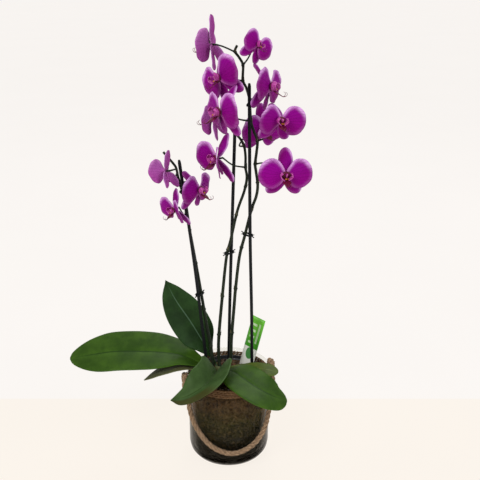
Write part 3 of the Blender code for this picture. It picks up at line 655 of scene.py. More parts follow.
# %% Fibres pressed against the glass
PRESSED = 1500
FIBRE_SHARES = (0.4, 0.8, 1, 1, 1, 1, 0.9, 0.7, 0.3)
SHOULDER = 0.1215
rng = random.Random(11)
fibres = []
for _ in range(PRESSED):
    angle = rng.uniform(0, 2 * math.pi)
    z = rng.uniform(0.020, 0.136)
    heading = rng.uniform(0, 2 * math.pi)
    curl = rng.uniform(-0.5, 0.5)
    depth = rng.uniform(0.0006, 0.0022)
    stride = rng.uniform(0.0012, 0.0034)
    points = []
    for _ in FIBRE_SHARES:
        skin = inner if z < SHOULDER else inner + (neck_in - inner) * min((z - SHOULDER) / 0.007, 1)
        points.append(round_jar(math.degrees(angle), z, skin - depth))
        z = min(max(z + math.sin(heading) * stride, 0.019), 0.1375)
        angle += math.cos(heading) * stride / skin
        heading += curl + rng.uniform(-0.5, 0.5)
    thick = rng.uniform(0.00012, 0.00036)
    fibres.append((points, [thick * s for s in FIBRE_SHARES], 0, False))
print(len(fibres), "fibres lie against the glass")

# %% Fibres that stand up round the pot's rim
STANDING = 420
MOSS_TOP = 0.1375
for _ in range(STANDING):
    angle = rng.uniform(0, 2 * math.pi)
    out = rng.uniform(0.0550, 0.0562)
    way = rng.choice((-1, 1)) * rng.uniform(0.06, 0.22)
    top = rng.uniform(0.1388, 0.1415)
    points = [round_jar(math.degrees(angle + way * s), MOSS_TOP + (top - MOSS_TOP) * math.sin(math.pi * s),
                        out - 0.0006 * s) for s in np.linspace(0, 1, 6)]
    fibres.append((points, 0.00022, 0, False))
finish_piece("moss_fibres", rod_mesh("moss_fibres", fibres, 0), [moss_fibre])

# %% [markdown]
# ## The nursery pot
# The plant grows in a thin dark plastic pot. Only its rim shows, through the glass and from above, so
# a spun profile with a step under the rim is enough. Dust dulls the plastic in patches.

# %% Nursery pot
pot_plastic = Finish("pot_plastic", IOR=1.5)
grain = pot_plastic.noise(700, 3, 0.6)
dust = pot_plastic.noise(70, 5, 0.7).above(0.48, 0.72)
pot_plastic.feed("Base Color", pot_plastic.mix(dust * 0.5, (0.020, 0.023, 0.027), (0.090, 0.085, 0.075)))
pot_plastic.feed("Roughness", 0.28 + dust * 0.35 + grain * 0.08)
pot_plastic.bump(grain, 0.2, 0.0002)
POT_WALL = 0.0010
pot_profile = [
    (0.0, POT_FOOT + POT_WALL), (POT_FOOT_RADIUS - POT_WALL, POT_FOOT + POT_WALL),
    (POT_RIM_RADIUS - 0.0024, POT_STEP), (POT_RIM_RADIUS - POT_WALL, POT_STEP + 0.0012),
    (POT_RIM_RADIUS - POT_WALL, POT_TOP), (POT_RIM_RADIUS, POT_TOP), (POT_RIM_RADIUS, POT_STEP),
    (POT_RIM_RADIUS - 0.0014, POT_STEP - 0.0006), (POT_FOOT_RADIUS, POT_FOOT), (0.0, POT_FOOT),
]
finish_piece("pot_shell", lathe(rounded(pot_profile, 0.0005, 3)), [pot_plastic], ["nursery_pot"])

# %% [markdown]
# ## Bark
# Orchids grow in coarse bark. A bump pattern alone would leave the heap flat from the side, so a
# body fills the pot and a few hundred chips lie on it, each a block whose corners are pushed about.
# Blender's vector noise starts from the clock until it is seeded, so it gets a seed of its own here.

# %% Bark finish
bark = Finish("bark", Specular_IOR_Level=0.2)
grain = bark.noise(420, 5, 0.7, where=bark.stretched((1, 1, 3.5)))
each = bark.cells(95)
tint = bark.ramp(bark.noise(38, 3, 0.6), [(0.25, (0.030, 0.016, 0.008)), (0.5, (0.105, 0.055, 0.026)),
                                          (0.8, (0.230, 0.140, 0.075))])
tint = bark.mix(0.35, tint, bark.mix(1.0, tint, each, "MULTIPLY"))
bark.feed("Base Color", bark.mix(grain.below(0.30, 0.55) * 0.75, tint, (0.012, 0.007, 0.004)))
bark.feed("Roughness", 0.70 + grain * 0.25)
bark.bump(grain, 0.9, 0.0007)


# %% A block for the chips: a cube with each edge cut once
cube = bmesh.new()
bmesh.ops.create_cube(cube, size=1.0)
bmesh.ops.subdivide_edges(cube, edges=list(cube.edges), cuts=1, use_grid_fill=True)
block = mesh_of("block", cube)
print("block", len(block.vertices), "corners")

# %% The heap of chips
BARK_TOP = 0.131
BARK_REACH = 0.0485
CHIPS = 520
CROWN_PLACE = (-0.018, 0.002)
CROWN_CLEAR = 0.012
heap_profile = [(0.0, 0.1325), (0.012, 0.1325), (0.025, 0.132), (0.038, 0.1312), (0.050, 0.1295),
                (0.0412, 0.0281), (0.0, 0.0281)]
shape = shape_of(mesh_of("heap", lathe(heap_profile, 72)))
rng = random.Random(5)
noise.seed_set(5)
for _ in range(CHIPS):
    out = BARK_REACH * math.sqrt(rng.uniform(0.0, 1.0))
    turn = rng.uniform(0, 2 * math.pi)
    middle = Vector((out * math.cos(turn), out * math.sin(turn), BARK_TOP + rng.uniform(-0.001, 0.0032)))
    if math.dist(middle[:2], CROWN_PLACE) < CROWN_CLEAR:
        continue
    if abs(middle.x) < 0.012 and 0.026 < middle.y < 0.050:
        middle.z -= 0.0012
    shape.from_mesh(block)
    shape.verts.ensure_lookup_table()
    chip = shape.verts[-len(block.vertices):]
    size = Vector((rng.uniform(0.004, 0.011), rng.uniform(0.003, 0.007), rng.uniform(0.0015, 0.004)))
    seed = Vector((rng.uniform(0, 9), rng.uniform(0, 9), rng.uniform(0, 9)))
    for corner in chip:
        push = noise.noise_vector(corner.co * 1.7 + seed) * 0.30
        round_off = 1.0 - 0.16 * (corner.co.length - 0.5)
        corner.co = (corner.co * round_off + push) * size
    tilt = Matrix.Rotation(rng.uniform(0, 6.3), 4, "Z") @ Matrix.Rotation(rng.gauss(0, 0.45), 4, "X")
    tilt = tilt @ Matrix.Rotation(rng.gauss(0, 0.35), 4, "Y")
    bmesh.ops.transform(shape, matrix=Matrix.Translation(middle) @ tilt, verts=chip)
finish_piece("bark_chips", shape, [bark], ["bark_mix"], smooth=False)

# %% [markdown]
# ## Leaves
# A moth orchid's leaf is thick and leathery. It folds along a midrib that shows as a pale groove on
# top, and its underside is duller and more olive. Each blade is a fine grid bent along its midrib,
# and a thin wall gives it both sides.

# %% Leaf finishes
def leaf_finish(name, dark, light, rib, rough, shine=0.05, turned=0.0):
    made = Finish(name, IOR=1.45, Coat_Roughness=0.3, Specular_IOR_Level=0.09)
    across = (made.axis("Y", "UV") - 0.5).abs() * 2
    along = made.axis("X", "UV")
    mottle = made.noise(38, 4, 0.6)
    fine = made.noise(620, 3, 0.6)
    lines = made.noise(30, 3, 0.55, where=made.stretched((2.2, 34, 1), kind="UV"))
    colour = made.mix(mottle.above(0.32, 0.68), dark, light)
    colour = made.mix(lines.above(0.50, 0.75) * 0.35, colour, tuple(v * 1.5 for v in light))
    # Painted shade: a darker band across each half of the blade, where its surface dips.
    painted_hollow_shade = across.above(0.10, 0.30) * across.below(0.30, 0.80)
    colour = made.mix(painted_hollow_shade * 0.25, colour, tuple(v * 0.7 for v in dark))
    # A thin strip along the midrib takes the rib colour: a pale midrib on some leaves, and on leaf_top and
    # leaf_bright a dark line of painted shade in the groove or fold.
    colour = made.mix(across.below(0.012, 0.050) * along.below(0.80, 1.0) * 0.85, colour, rib)
    colour = made.mix(across.above(0.94, 1.0) * 0.45, colour, tuple(v * 1.5 for v in light))
    colour = made.mix(fine.above(0.66, 0.80) * 0.25, colour, tuple(v * 0.6 for v in dark))
    if turned:
        rolled = made.axis("Y", "UV").below(turned - 0.02, turned + 0.02) * along.above(0.50, 0.64)
        dull = made.mix(mottle, (0.022, 0.024, 0.003), (0.050, 0.050, 0.008))
        colour = made.mix(rolled * 0.9, colour, dull)
    made.feed("Base Color", colour)
    made.feed("Roughness", rough + mottle * 0.16)
    made.feed("Coat Weight", shine + mottle * shine)
    made.bump(lines, 0.35, 0.0006)
    made.bump(fine, 0.12, 0.0003)
    return made


# Its dark rib colour is painted shade in the midrib groove.
leaf_top = leaf_finish("leaf_top", (0.018, 0.050, 0.003), (0.036, 0.086, 0.006),
                       (0.010, 0.032, 0.003), 0.38)
# Its dark rib colour is painted shade in the fold.
leaf_bright = leaf_finish("leaf_bright", (0.026, 0.056, 0.013), (0.046, 0.090, 0.024),
                          (0.020, 0.044, 0.006), 0.38, turned=0.30)
leaf_deep = leaf_finish("leaf_deep", (0.009, 0.028, 0.006), (0.018, 0.052, 0.011),
                        (0.070, 0.130, 0.080), 0.34)
leaf_young = leaf_finish("leaf_young", (0.040, 0.062, 0.008), (0.082, 0.120, 0.018),
                         (0.130, 0.170, 0.045), 0.42)
leaf_olive = leaf_finish("leaf_olive", (0.060, 0.066, 0.024), (0.110, 0.116, 0.050),
                         (0.090, 0.088, 0.036), 0.46)
leaf_under = leaf_finish("leaf_under", (0.022, 0.024, 0.003), (0.046, 0.048, 0.008),
                         (0.080, 0.082, 0.022), 0.50)
LEAF_TOPS = {"leaf_back": leaf_deep, "leaf_small": leaf_young, "leaf_arching": leaf_olive,
             "leaf_folded": leaf_bright}

# %% The six leaves
# Midrib points (mm), the blade's sideways direction at base and tip, width, fold at base and tip
# (degrees), and the outline as shares of the half width at even steps.
LEAVES = {
    "leaf_back": (
        [(-19, 11.4, 141.5), (-20.8, 20, 144), (-26.5, 28, 151.5), (-37.5, 34, 168), (-49, 39, 187),
         (-62, 44, 208), (-85, 53, 241), (-101, 62, 271)],
        (0.85, 0.16, 0.45), (0.80, 0.25, 0.50), 0.066, 36, 14,
        (0.05, 0.07, 0.46, 0.90, 1.00, 0.96, 0.80, 0.50, 0.06),
    ),
    "leaf_long": (
        [(-28.5, 1.5, 143), (-38, 1.5, 150.6), (-62, 6, 161), (-84, 12, 165), (-122, 16, 167),
         (-176, 18, 166.5), (-207, 17, 163), (-252, 14, 156)],
        (0.0, 0.98, 0.14), (0.0, 0.88, 0.46), 0.082, 9, 5,
        (0.12, 0.42, 0.76, 0.96, 1.00, 1.00, 0.97, 0.88, 0.74),
    ),
    "leaf_arching": (
        [(-27.0, -4.6, 139), (-38, -3, 143.5), (-52, -2, 150.5), (-66, -2, 154), (-80, -3, 153.6),
         (-95, -6, 149.5), (-113, -11, 144), (-132, -17, 135)],
        (0.0, 0.99, 0.10), (0.0, 0.97, -0.02), 0.034, 6, 4,
        (0.20, 0.40, 0.62, 0.82, 0.98, 1.00, 0.85, 0.55, 0.10),
    ),
    "leaf_folded": (
        [(-18, -7.6, 144), (-18.5, -18, 151), (-23, -42, 156), (-31, -62, 157), (-44, -77, 153.5),
         (-62, -85, 147), (-85, -82, 139)],
        (-1.0, 0.0, 0.0), (-0.25, 0.95, 0.20), 0.064, 54, 8,
        (0.34, 1.00, 1.00, 0.98, 0.96, 0.86, 0.68, 0.42, 0.07),
    ),
    "leaf_broad": (
        [(-9.6, -3.8, 141), (-1, -11, 148), (9, -24, 153.5), (21, -42, 155), (37, -60, 152),
         (54, -72, 147.5), (71, -77, 141.5), (88, -75, 134.5)],
        (0.90, 0.42, 0.06), (0.10, 0.95, 0.22), 0.062, 8, 3,
        (0.08, 0.52, 0.84, 0.97, 1.00, 1.02, 1.04, 1.02, 0.98),
    ),
    "leaf_small": (
        [(-8.8, 2.6, 139), (4, 3.2, 142.6), (22, -3, 146.5), (42, -9, 150.4), (60, -15, 152.8),
         (77, -21, 150.5)],
        (0.30, 0.95, 0.08), (0.30, 0.95, 0.14), 0.033, 4, 2,
        (0.20, 0.55, 0.82, 0.95, 1.00, 1.02, 1.02, 0.98, 0.94),
    ),
}
# Where each tip starts to round, as a share of the length.
ROUND_TIPS = {"leaf_long": 0.70, "leaf_broad": 0.68, "leaf_small": 0.74}
POINTED_TIP = 0.93
LEAF_THICK = 0.0013
print(len(LEAVES), "leaves")


# %% Grids that carry their own UV
def eased(values, u):
    """A value read from even steps along a smooth curve."""
    p = [values[0]] + list(values) + [values[-1]]
    at = min(u, 0.99999) * (len(values) - 1)
    k = int(at)
    t = at - k
    a, b, c, d = p[k:k + 4]
    return 0.5 * (2 * b + (c - a) * t + (2 * a - 5 * b + 4 * c - d) * t * t
                  + (3 * b - a - 3 * c + d) * t ** 3)


def grid_with_uv(shape, along, across, flip=1):
    """A grid from -1 to 1 with its place stored as UV; returns its new corners."""
    layer = shape.loops.layers.uv.verify()
    corners = bmesh.ops.create_grid(shape, x_segments=along, y_segments=across, size=1.0)["verts"]
    for face in faces_of(corners):
        for loop in face.loops:
            loop[layer].uv = ((loop.vert.co.x + 1) / 2, (flip * loop.vert.co.y + 1) / 2)
    return corners


def face_towards(shape, corners, direction):
    """Turns a sheet's faces so that they look along a direction."""
    faces = faces_of(corners)
    bmesh.ops.recalc_face_normals(shape, faces=faces)
    total = sum((f.normal * f.calc_area() for f in faces), Vector())
    if total.dot(Vector(direction)) < 0:
        bmesh.ops.reverse_faces(shape, faces=faces)


# %% One leaf, and all six
def leaf_blade(name):
    """A grid bent along the midrib, folded along it and cut to the outline."""
    midrib, side_base, side_tip, width, fold_base, fold_tip, outline = LEAVES[name]
    route = smooth_route(in_metres(midrib), 0.001)
    tip = ROUND_TIPS.get(name, POINTED_TIP)
    shape = bmesh.new()
    corners = grid_with_uv(shape, 72, 26)
    tops = Vector()
    for corner in corners:
        u = (corner.co.x + 1) / 2
        v = corner.co.y
        at = u * (len(route) - 1)
        k = min(int(at), len(route) - 2)
        here = Vector(route[k]).lerp(Vector(route[k + 1]), at - k)
        ahead = route[min(round(at) + 3, len(route) - 1)] - route[max(round(at) - 3, 0)]
        along = Vector(ahead).normalized()
        side = Vector(side_base).lerp(Vector(side_tip), u)
        side = (side - along * side.dot(along)).normalized()
        up = along.cross(side)
        if up.z < 0 or (abs(up.z) < 0.2 and up.y > 0):
            up = -up
        tops += up
        fold = math.radians(fold_base + (fold_tip - fold_base) * u)
        half = width / 2 * eased(outline, u)
        if u > tip:
            half *= math.sqrt(max(0.0, 1 - ((u - tip) / (1.0005 - tip)) ** 2))
        groove = -0.0011 * math.exp(-(v / 0.055) ** 2) * min(1, 8 * u) * (1 - u)
        ripple = 0.0009 * abs(v) ** 1.5 * math.sin(u * 11 + (2 if v > 0 else 0)) * math.sin(math.pi * u)
        rise = abs(v) * math.sin(fold) - 0.10 * v * v * u
        corner.co = here + side * (half * v * math.cos(fold)) + up * (half * rise + groove + ripple)
    bmesh.ops.remove_doubles(shape, verts=shape.verts, dist=1e-6)
    face_towards(shape, list(shape.verts), tops)
    top = LEAF_TOPS.get(name, leaf_top)
    piece = finish_piece(name + "_blade", shape, [top, leaf_under], [name])
    thicken(piece, LEAF_THICK, 1)


for name in LEAVES:
    leaf_blade(name)

# %% [markdown]
# ## Stakes
# Each spike is tied to a thin dark plastic stake. Real stakes bend a little where the spike pulls, so
# they follow a route of a few points and aren't straight cylinders. Their tops taper a little.

# %% Dark plastic
dark_plastic = Finish("dark_plastic", Specular_IOR_Level=0.16)
scuff = dark_plastic.noise(240, 4, 0.65)
lengthways = dark_plastic.noise(60, 3, 0.6, where=dark_plastic.stretched((18, 18, 1)))
black = dark_plastic.mix(lengthways.above(0.4, 0.8), (0.0025, 0.0035, 0.0045), (0.010, 0.012, 0.014))
dark_plastic.feed("Base Color", black)
dark_plastic.feed("Roughness", 0.36 + scuff * 0.30)
dark_plastic.bump(lengthways, 0.25, 0.0003)

# %% The three stakes
STAKE_RADIUS = 0.0025
STAKE_TIP = (0.0024, 0.0016)
STAKE_STEP = 0.004
STAKES = {
    "stake_left": [
        (-26, 15, 45), (-34.5, 15, 140), (-40, 14.5, 200), (-50, 13, 308), (-57, 12, 372), (-70, 11, 482),
    ],
    "stake_middle": [(-1, 25, 45), (0, 25, 156), (3, 25, 281), (6, 25, 376), (11, 25, 535)],
    "stake_right": [(38, 12, 45), (37, 12, 138), (36, 12, 237), (33, 12, 374), (31, 12, 592)],
}
for name, points in STAKES.items():
    line = smooth_route(in_metres(points), STAKE_STEP)
    radii = [STAKE_RADIUS] * len(line)
    radii[-2:] = STAKE_TIP
    rod = rod_mesh(name + "_rod", [(line, radii, 0, False)], 5)
    finish_piece(name + "_rod", rod, [dark_plastic], [name])

# %% [markdown]
# ## Flower spikes
# A spike is a stalk that thickens at each node, where a small pointed bract sits. Flower stalks, the
# pedicels, leave it there. They are paler than the spike. Each stalk is a rod with a radius at every
# point, so that the nodes swell smoothly, and the bracts are squeezed cones.

# %% Stem finishes
def stem_finish(name, dark, light, speck, rough):
    made = Finish(name, Specular_IOR_Level=0.16)
    along = made.noise(42, 4, 0.6, where=made.stretched((14, 14, 1)))
    dots = made.noise(1500, 2, 0.6)
    patches = made.noise(30, 3, 0.5)
    colour = made.mix(along.above(0.35, 0.70), dark, light)
    colour = made.mix(patches.above(0.50, 0.75) * 0.5, colour, tuple(v * 1.5 for v in light))
    made.feed("Base Color", made.mix(dots.above(0.62, 0.72) * 0.5, colour, speck))
    made.feed("Roughness", rough + dots * 0.15)
    made.bump(along, 0.25, 0.0003)
    made.bump(dots, 0.15, 0.0001)
    return made


stem = stem_finish("stem", (0.006, 0.010, 0.006), (0.016, 0.023, 0.011), (0.036, 0.044, 0.022), 0.42)
node_skin = stem_finish("stem_node", (0.050, 0.050, 0.024), (0.110, 0.100, 0.050),
                        (0.030, 0.022, 0.012), 0.45)
pedicel_skin = stem_finish("pedicel", (0.075, 0.080, 0.035), (0.170, 0.165, 0.080),
                           (0.160, 0.060, 0.080), 0.44)

# %% Where each flower is and how it is turned
# Hub (mm), turn, nod and roll (degrees), size, forward sweep of the petals, lean of the top sepal.
FLOWERS = {
    1: ((-22, 20, 644), -108, 0, 0, 0.88, 14, -4),
    2: ((42, -19, 648), 43, 0, -30, 0.60, 4, 44),
    3: ((-10, -34, 607), -48, -4, 32, 0.85, -2, 32),
    4: ((-21, 16, 543), -108, -4, -4, 0.80, 6, 12),
    5: ((-8, -71, 569), -60, -4, 6, 0.90, -4, 40),
    6: ((-14, -14, 490), -64, -6, -2, 0.86, 26, 28),
    7: ((59, -8, 591), 64, -2, -14, 0.88, 0, 42),
    8: ((73, -28, 548), 25, -4, -8, 0.80, 16, 62),
    9: ((54, 46, 519), 32, -6, 0, 0.84, 0, 20),
    10: ((82, -34, 472), 8, -2, -2, 0.85, -4, 20),
    11: ((-88, -17, 473), -112, -12, 12, 0.66, 20, 14),
    12: ((-77, -8, 413), -56, -14, 4, 0.68, 14, 20),
    13: ((-41, -8, 443), 60, -4, -6, 0.80, -6, 52),
}
print(len(FLOWERS), "flowers")


def rotation(degrees, axis):
    return Matrix.Rotation(math.radians(degrees), 4, axis)


def face_turn(number):
    """What carries a flower that faces -Y at the origin to its own place."""
    hub, turn, nod, roll, size = FLOWERS[number][:5]
    facing = rotation(turn, "Z") @ rotation(-nod, "X") @ rotation(-roll, "Y")
    return Matrix.Translation([v * MM for v in hub]) @ facing @ Matrix.Scale(size, 4)


HUB_BACK = 0.0023


def hub_back(number, further):
    """The point behind a flower's hub where its pedicel arrives, or further back."""
    behind = HUB_BACK + (0.0003 + further) / FLOWERS[number][4]
    return face_turn(number) @ Vector((0, behind, 0))


# %% Spikes, from the crown to the tip (mm)
SPIKES = {
    "spike_left": [
        (-24.5, 12.4, 139), (-26, 15, 156), (-29, 19, 180), (-34, 20, 208), (-38.5, 20, 242),
        (-42.5, 19.5, 271), (-47.5, 19, 306), (-56.5, 18.2, 366), (-61.5, 18, 394), (-64, 18, 417),
        (-69, 18, 441), (-72.5, 18, 454), (-75, 18, 468), (-80, 18, 476), (-93, 18, 492),
    ],
    "spike_middle": [
        (-13.2, 12.8, 139), (-15.6, 17, 154), (-15.5, 20, 191), (-9, 21, 266), (-2.5, 20, 328),
        (4, 18.5, 356), (14, 18, 402), (24, 18, 432), (28, 18, 453), (26, 18, 469), (26, 19, 485),
        (24, 20, 500), (19, 20, 510), (11, 18, 520), (3, 16, 531),
    ],
    "spike_right": [
        (-8.6, 8.6, 139), (2.5, 15, 153), (4.5, 18, 190), (9, 18.5, 248), (11, 18.5, 274),
        (17, 18.5, 328), (25, 18.5, 362), (35, 18.5, 404), (42, 18.5, 425), (44, 18.5, 442),
        (41.5, 18.5, 462), (40, 18.5, 474), (42, 18.5, 492), (43, 18.5, 508), (38, 18.5, 522),
        (33.5, 18.8, 537), (31.6, 18.4, 566), (27, 18, 584), (22, 18, 594), (22, 18, 604),
        (22, 18, 617), (16.5, 18, 627), (11, 18, 635), (14, 18, 643),
    ],
}
print(len(SPIKES), "spikes")

# %% Pedicels: height of the node (mm), points on the way (mm), flower
PEDICELS = {
    "spike_left": [
        (394, [(-66, 14, 398)], 12),
        (440, [(-76, 9, 452), (-71, -17, 475)], 11),
        (444, [(-60, 22, 446)], 13),
    ],
    "spike_middle": [
        (469, [(8, 12, 474)], 6),
        (500, [(17, 30, 499), (26, 45, 509), (39, 55, 514)], 9),
        (528, [(-2, 17, 536)], 4),
    ],
    "spike_right": [
        (474, [(55, 2, 479)], 10),
        (508, [(55, 8, 517)], 8),
        (537, [(17, 17, 540), (9, -30, 555)], 5),
        (567, [(42, 8, 575)], 7),
        (594, [(11, 8, 598)], 3),
        (616, [(30, 4, 629)], 2),
        (634, [(-4, 17, 641)], 1),
    ],
}
print(sum(len(rows) for rows in PEDICELS.values()), "pedicels")

# %% Nodes with no flower: heights (mm)
EXTRA_NODES = {
    "spike_left": (176, 240, 318, 372),
    "spike_middle": (196, 262, 340, 396, 440),
    "spike_right": (200, 276, 344, 404, 446),
}
print(sum(len(heights) for heights in EXTRA_NODES.values()), "bare nodes")


# %% Swellings and bracts
SPIKE_FOOT = 0.0027
SPIKE_TIP = 0.0018
SPIKE_STEP = 0.0025
PEDICEL_RADIUS = 0.00115
BRACT_WIDE = 0.0016
COLLAR = ((-0.0012, 0.86), (-0.0006, 1.02), (0, 1.09), (0.0006, 1.02), (0.0012, 0.86))


def swelling(route, at, reach):
    """How near each route point is to a height, from 0 to 1."""
    return np.exp(-((route[:, 2] - at) / reach) ** 2)


def bract(shape, base, way, out, long, wide):
    """A small pointed scale that hugs the stalk at a node."""
    corners = bmesh.ops.create_cone(shape, cap_ends=True, segments=12, radius1=wide, radius2=0.0001,
                                    depth=long)["verts"]
    for corner in corners:
        share = corner.co.z / long + 0.5
        corner.co.y *= 0.45
        corner.co.x *= 1 + 0.5 * math.sin(math.pi * min(share * 1.3, 1.0))
        corner.co.y += 0.0016 * share * share
        corner.co.z += long / 2
    up = Vector(way).normalized()
    front = (Vector(out) - up * Vector(out).dot(up)).normalized()
    side = front.cross(up)
    turn = Matrix((side, front, up)).transposed().to_4x4()
    bmesh.ops.transform(shape, matrix=Matrix.Translation(base) @ turn, verts=corners)
    for face in faces_of(corners):
        face.material_index = 1


def across_node(route, height, reach):
    """The index of the route point nearest to a height, and the route's direction there."""
    k = int(np.argmin(np.abs(route[:, 2] - height)))
    return k, route[min(k + reach, len(route) - 1)] - route[max(k - reach, 0)]


# %% The three spikes
for name, points in SPIKES.items():
    route = smooth_route(in_metres(points), SPIKE_STEP)
    share = (route[:, 2] - route[0][2]) / (route[-1][2] - route[0][2])
    radii = SPIKE_FOOT + (SPIKE_TIP - SPIKE_FOOT) * np.clip(share, 0, 1)
    bearing = [row[0] for row in PEDICELS[name]]
    heights = [h * MM for h in list(EXTRA_NODES[name]) + bearing]
    for h in heights:
        radii = radii * (1 + 0.20 * swelling(route, h, 0.0022))
    rods = [(route, radii, 0, False)]
    for h in heights:
        spot = at_height(route, h)
        k, way = across_node(route, h, 1)
        way = way / np.linalg.norm(way)
        full = radii[k] * 1.10
        rods.append(([spot + way * d for d, _ in COLLAR], [full * w for _, w in COLLAR], 1, False))
    for height, middles, number in PEDICELS[name]:
        start = at_height(route, height * MM)
        bend = smooth_route([tuple(start)] + in_metres(middles) + [tuple(hub_back(number, 0.006))], 0.0018)
        bend = np.vstack([bend, np.array(hub_back(number, 0.003)), np.array(hub_back(number, 0.0))])
        along = np.linspace(0, 1, len(bend))
        ends = 0.35 * np.exp(-(along / 0.10) ** 2) + 0.25 * np.exp(-((along - 1) / 0.12) ** 2)
        rods.append((bend, PEDICEL_RADIUS * (1 + ends), 2, False))
    shape = shape_of(rod_mesh(name, rods, 4))
    rng = random.Random(len(name))
    for h in heights:
        spot = Vector(at_height(route, h))
        k, way = across_node(route, h, 2)
        out = Vector((math.cos(h * 900), math.sin(h * 900) * 0.6 - 0.3, 0))
        base = spot + out.normalized() * radii[k] * 0.75
        bract(shape, base, way, out, rng.uniform(0.0055, 0.0085), BRACT_WIDE)
    finish_piece(name + "_stalk", shape, [stem, node_skin, pedicel_skin], [name])

# %% [markdown]
# ## Clips
# A clip is a small plastic band round a stake and its spike, with two little ears at each end. The
# band is three thin closed loops, which reads as a ribbed strip, and each ear is a bevelled block.

# %% Clips: height (mm), stake and spike
CLIP_REACH = 0.0039
CLIP_WIRE = 0.00062
EAR_OUT = 0.0058
EAR_LIFT = 0.0016
EAR_SIZE = (0.0042, 0.0018, 0.0009)
CLIPS = {
    "clip_left_low": (268, "stake_left", "spike_left"),
    "clip_left_high": (432, "stake_left", "spike_left"),
    "clip_middle": (334, "stake_middle", "spike_middle"),
    "clip_right_low": (366, "stake_right", "spike_right"),
    "clip_right_high": (561, "stake_right", "spike_right"),
}
for name, (height, stake, spike) in CLIPS.items():
    a = Vector(at_height(smooth_route(in_metres(STAKES[stake]), STAKE_STEP), height * MM))
    b = Vector(at_height(smooth_route(in_metres(SPIKES[spike]), SPIKE_STEP), height * MM))
    along = (b - a).normalized()
    over = Vector((-along.y, along.x, 0))
    loop = []
    for k in range(40):
        turn = 2 * math.pi * (k + 0.5) / 40
        middle = b if math.cos(turn) > 0 else a
        loop.append(middle + along * CLIP_REACH * math.cos(turn) + over * CLIP_REACH * math.sin(turn))
    rods = [([p + Vector((0, 0, lift)) for p in loop], CLIP_WIRE, 0, True) for lift in (-0.0009, 0, 0.0009)]
    shape = shape_of(rod_mesh(name, rods, 1))
    for end, sign in ((a, -1), (b, 1)):
        for lift in (-EAR_LIFT, EAR_LIFT):
            ear = bmesh.ops.create_cube(shape, size=1.0)["verts"]
            bmesh.ops.scale(shape, vec=EAR_SIZE, verts=ear)
            tilt = Matrix.Rotation(math.copysign(0.35, lift) * -sign, 4, "Y")
            turn = Matrix.Rotation(math.atan2(along.y, along.x), 4, "Z")
            shift = Matrix.Translation(end + along * sign * EAR_OUT + Vector((0, 0, lift)))
            bmesh.ops.transform(shape, matrix=shift @ turn @ tilt, verts=ear)
            edges = list({e for v in ear for e in v.link_edges})
            bmesh.ops.bevel(shape, geom=edges, offset=0.0002, offset_type="OFFSET", segments=2, profile=0.5,
                            affect="EDGES", material=-1)
    finish_piece(name + "_band", shape, [dark_plastic], [name])

# %% [markdown]
# ## Crown
# Leaves and spikes grow from a short stem, the crown, wrapped in old leaf bases. A spun bud shape is
# squeezed into shallow ridges, so that it doesn't look turned.

# %% Crown
crown_profile = [(0.0, 0.1485), (0.0040, 0.1478), (0.0072, 0.1450), (0.0084, 0.1395), (0.0084, 0.1165),
                 (0.0060, 0.1122), (0.0, 0.1121)]
shape = lathe(rounded(crown_profile, 0.002), 48)
for corner in shape.verts:
    turn = math.atan2(corner.co.y, corner.co.x)
    squeeze = 1 - 0.05 * abs(math.sin(turn * 3 + corner.co.z * 160))
    corner.co.x = corner.co.x * squeeze + CROWN_PLACE[0]
    corner.co.y = corner.co.y * squeeze + CROWN_PLACE[1]
crown_skin = leaf_finish("crown_skin", (0.030, 0.040, 0.012), (0.070, 0.080, 0.028),
                         (0.110, 0.100, 0.050), 0.5)
finish_piece("crown_sheath", shape, [crown_skin], ["crown"])

# %% [markdown]
# ## Flowers
# A flower has three sepals behind two broad petals. They are magenta with darker veins that fan out
# from the claw, a pale edge and a dusty mauve back. The upper side of each blade is painted lighter,
# and its pale edge is strongest along the upper margin, as painted light from above. The veins are
# drawn from the blade's own UV, so that they follow its shape.


# %% Petal finishes
def petal_finish(name, deep, bright, edge, vein, vein_share, rough):
    made = Finish(name, Sheen_Weight=0.01, Sheen_Roughness=0.4, Specular_IOR_Level=0.03)
    u = made.axis("X", "UV")
    v = (made.axis("Y", "UV") - 0.5) * 2
    warp = made.noise(90, 4, 0.6) - 0.5
    blotch = made.noise(24, 3, 0.5)
    fan = v / (u + 0.30) + warp * 0.22
    wide = ((fan * 13).sine().abs()).below(0.05, 0.48)
    thin = ((fan * 44 + warp * 5).sine().abs()).below(0.05, 0.55)
    net = made.node("ShaderNodeTexVoronoi", {"feature": "DISTANCE_TO_EDGE"},
                    {"Vector": made.place(), "Scale": 330.0}, "Distance").below(0.0, 0.10)
    from_middle = ((u - 0.5) * 2) ** 2.0 + v * v + warp * 0.3
    # The pale edge runs all round; its extra strength along the upper margin is painted light from above.
    high = 0.14 + v.above(-0.2, 0.8) * 0.86
    colour = made.mix(blotch.above(0.30, 0.70), deep, bright)
    # Painted light: each blade turns paler towards its upper side.
    colour = made.mix(v.above(-0.8, 0.9) * 0.5, colour, (bright[0], bright[1] * 2, bright[2] * 1.30))
    colour = made.mix(from_middle.above(0.42, 1.12) * high, colour, edge)
    colour = made.mix((wide * 0.36 + thin * 0.45 + net * 0.15) * vein_share, colour, vein)
    colour = made.mix(u.below(0.02, 0.16) * 0.55, colour, (0.50, 0.16, 0.44))
    made.feed("Base Color", colour)
    grain = made.noise(1600, 2, 0.5)
    made.feed("Roughness", rough + grain * 0.18)
    made.bump(wide, 0.30, 0.0004)
    made.bump(grain, 0.25, 0.0001)
    return made


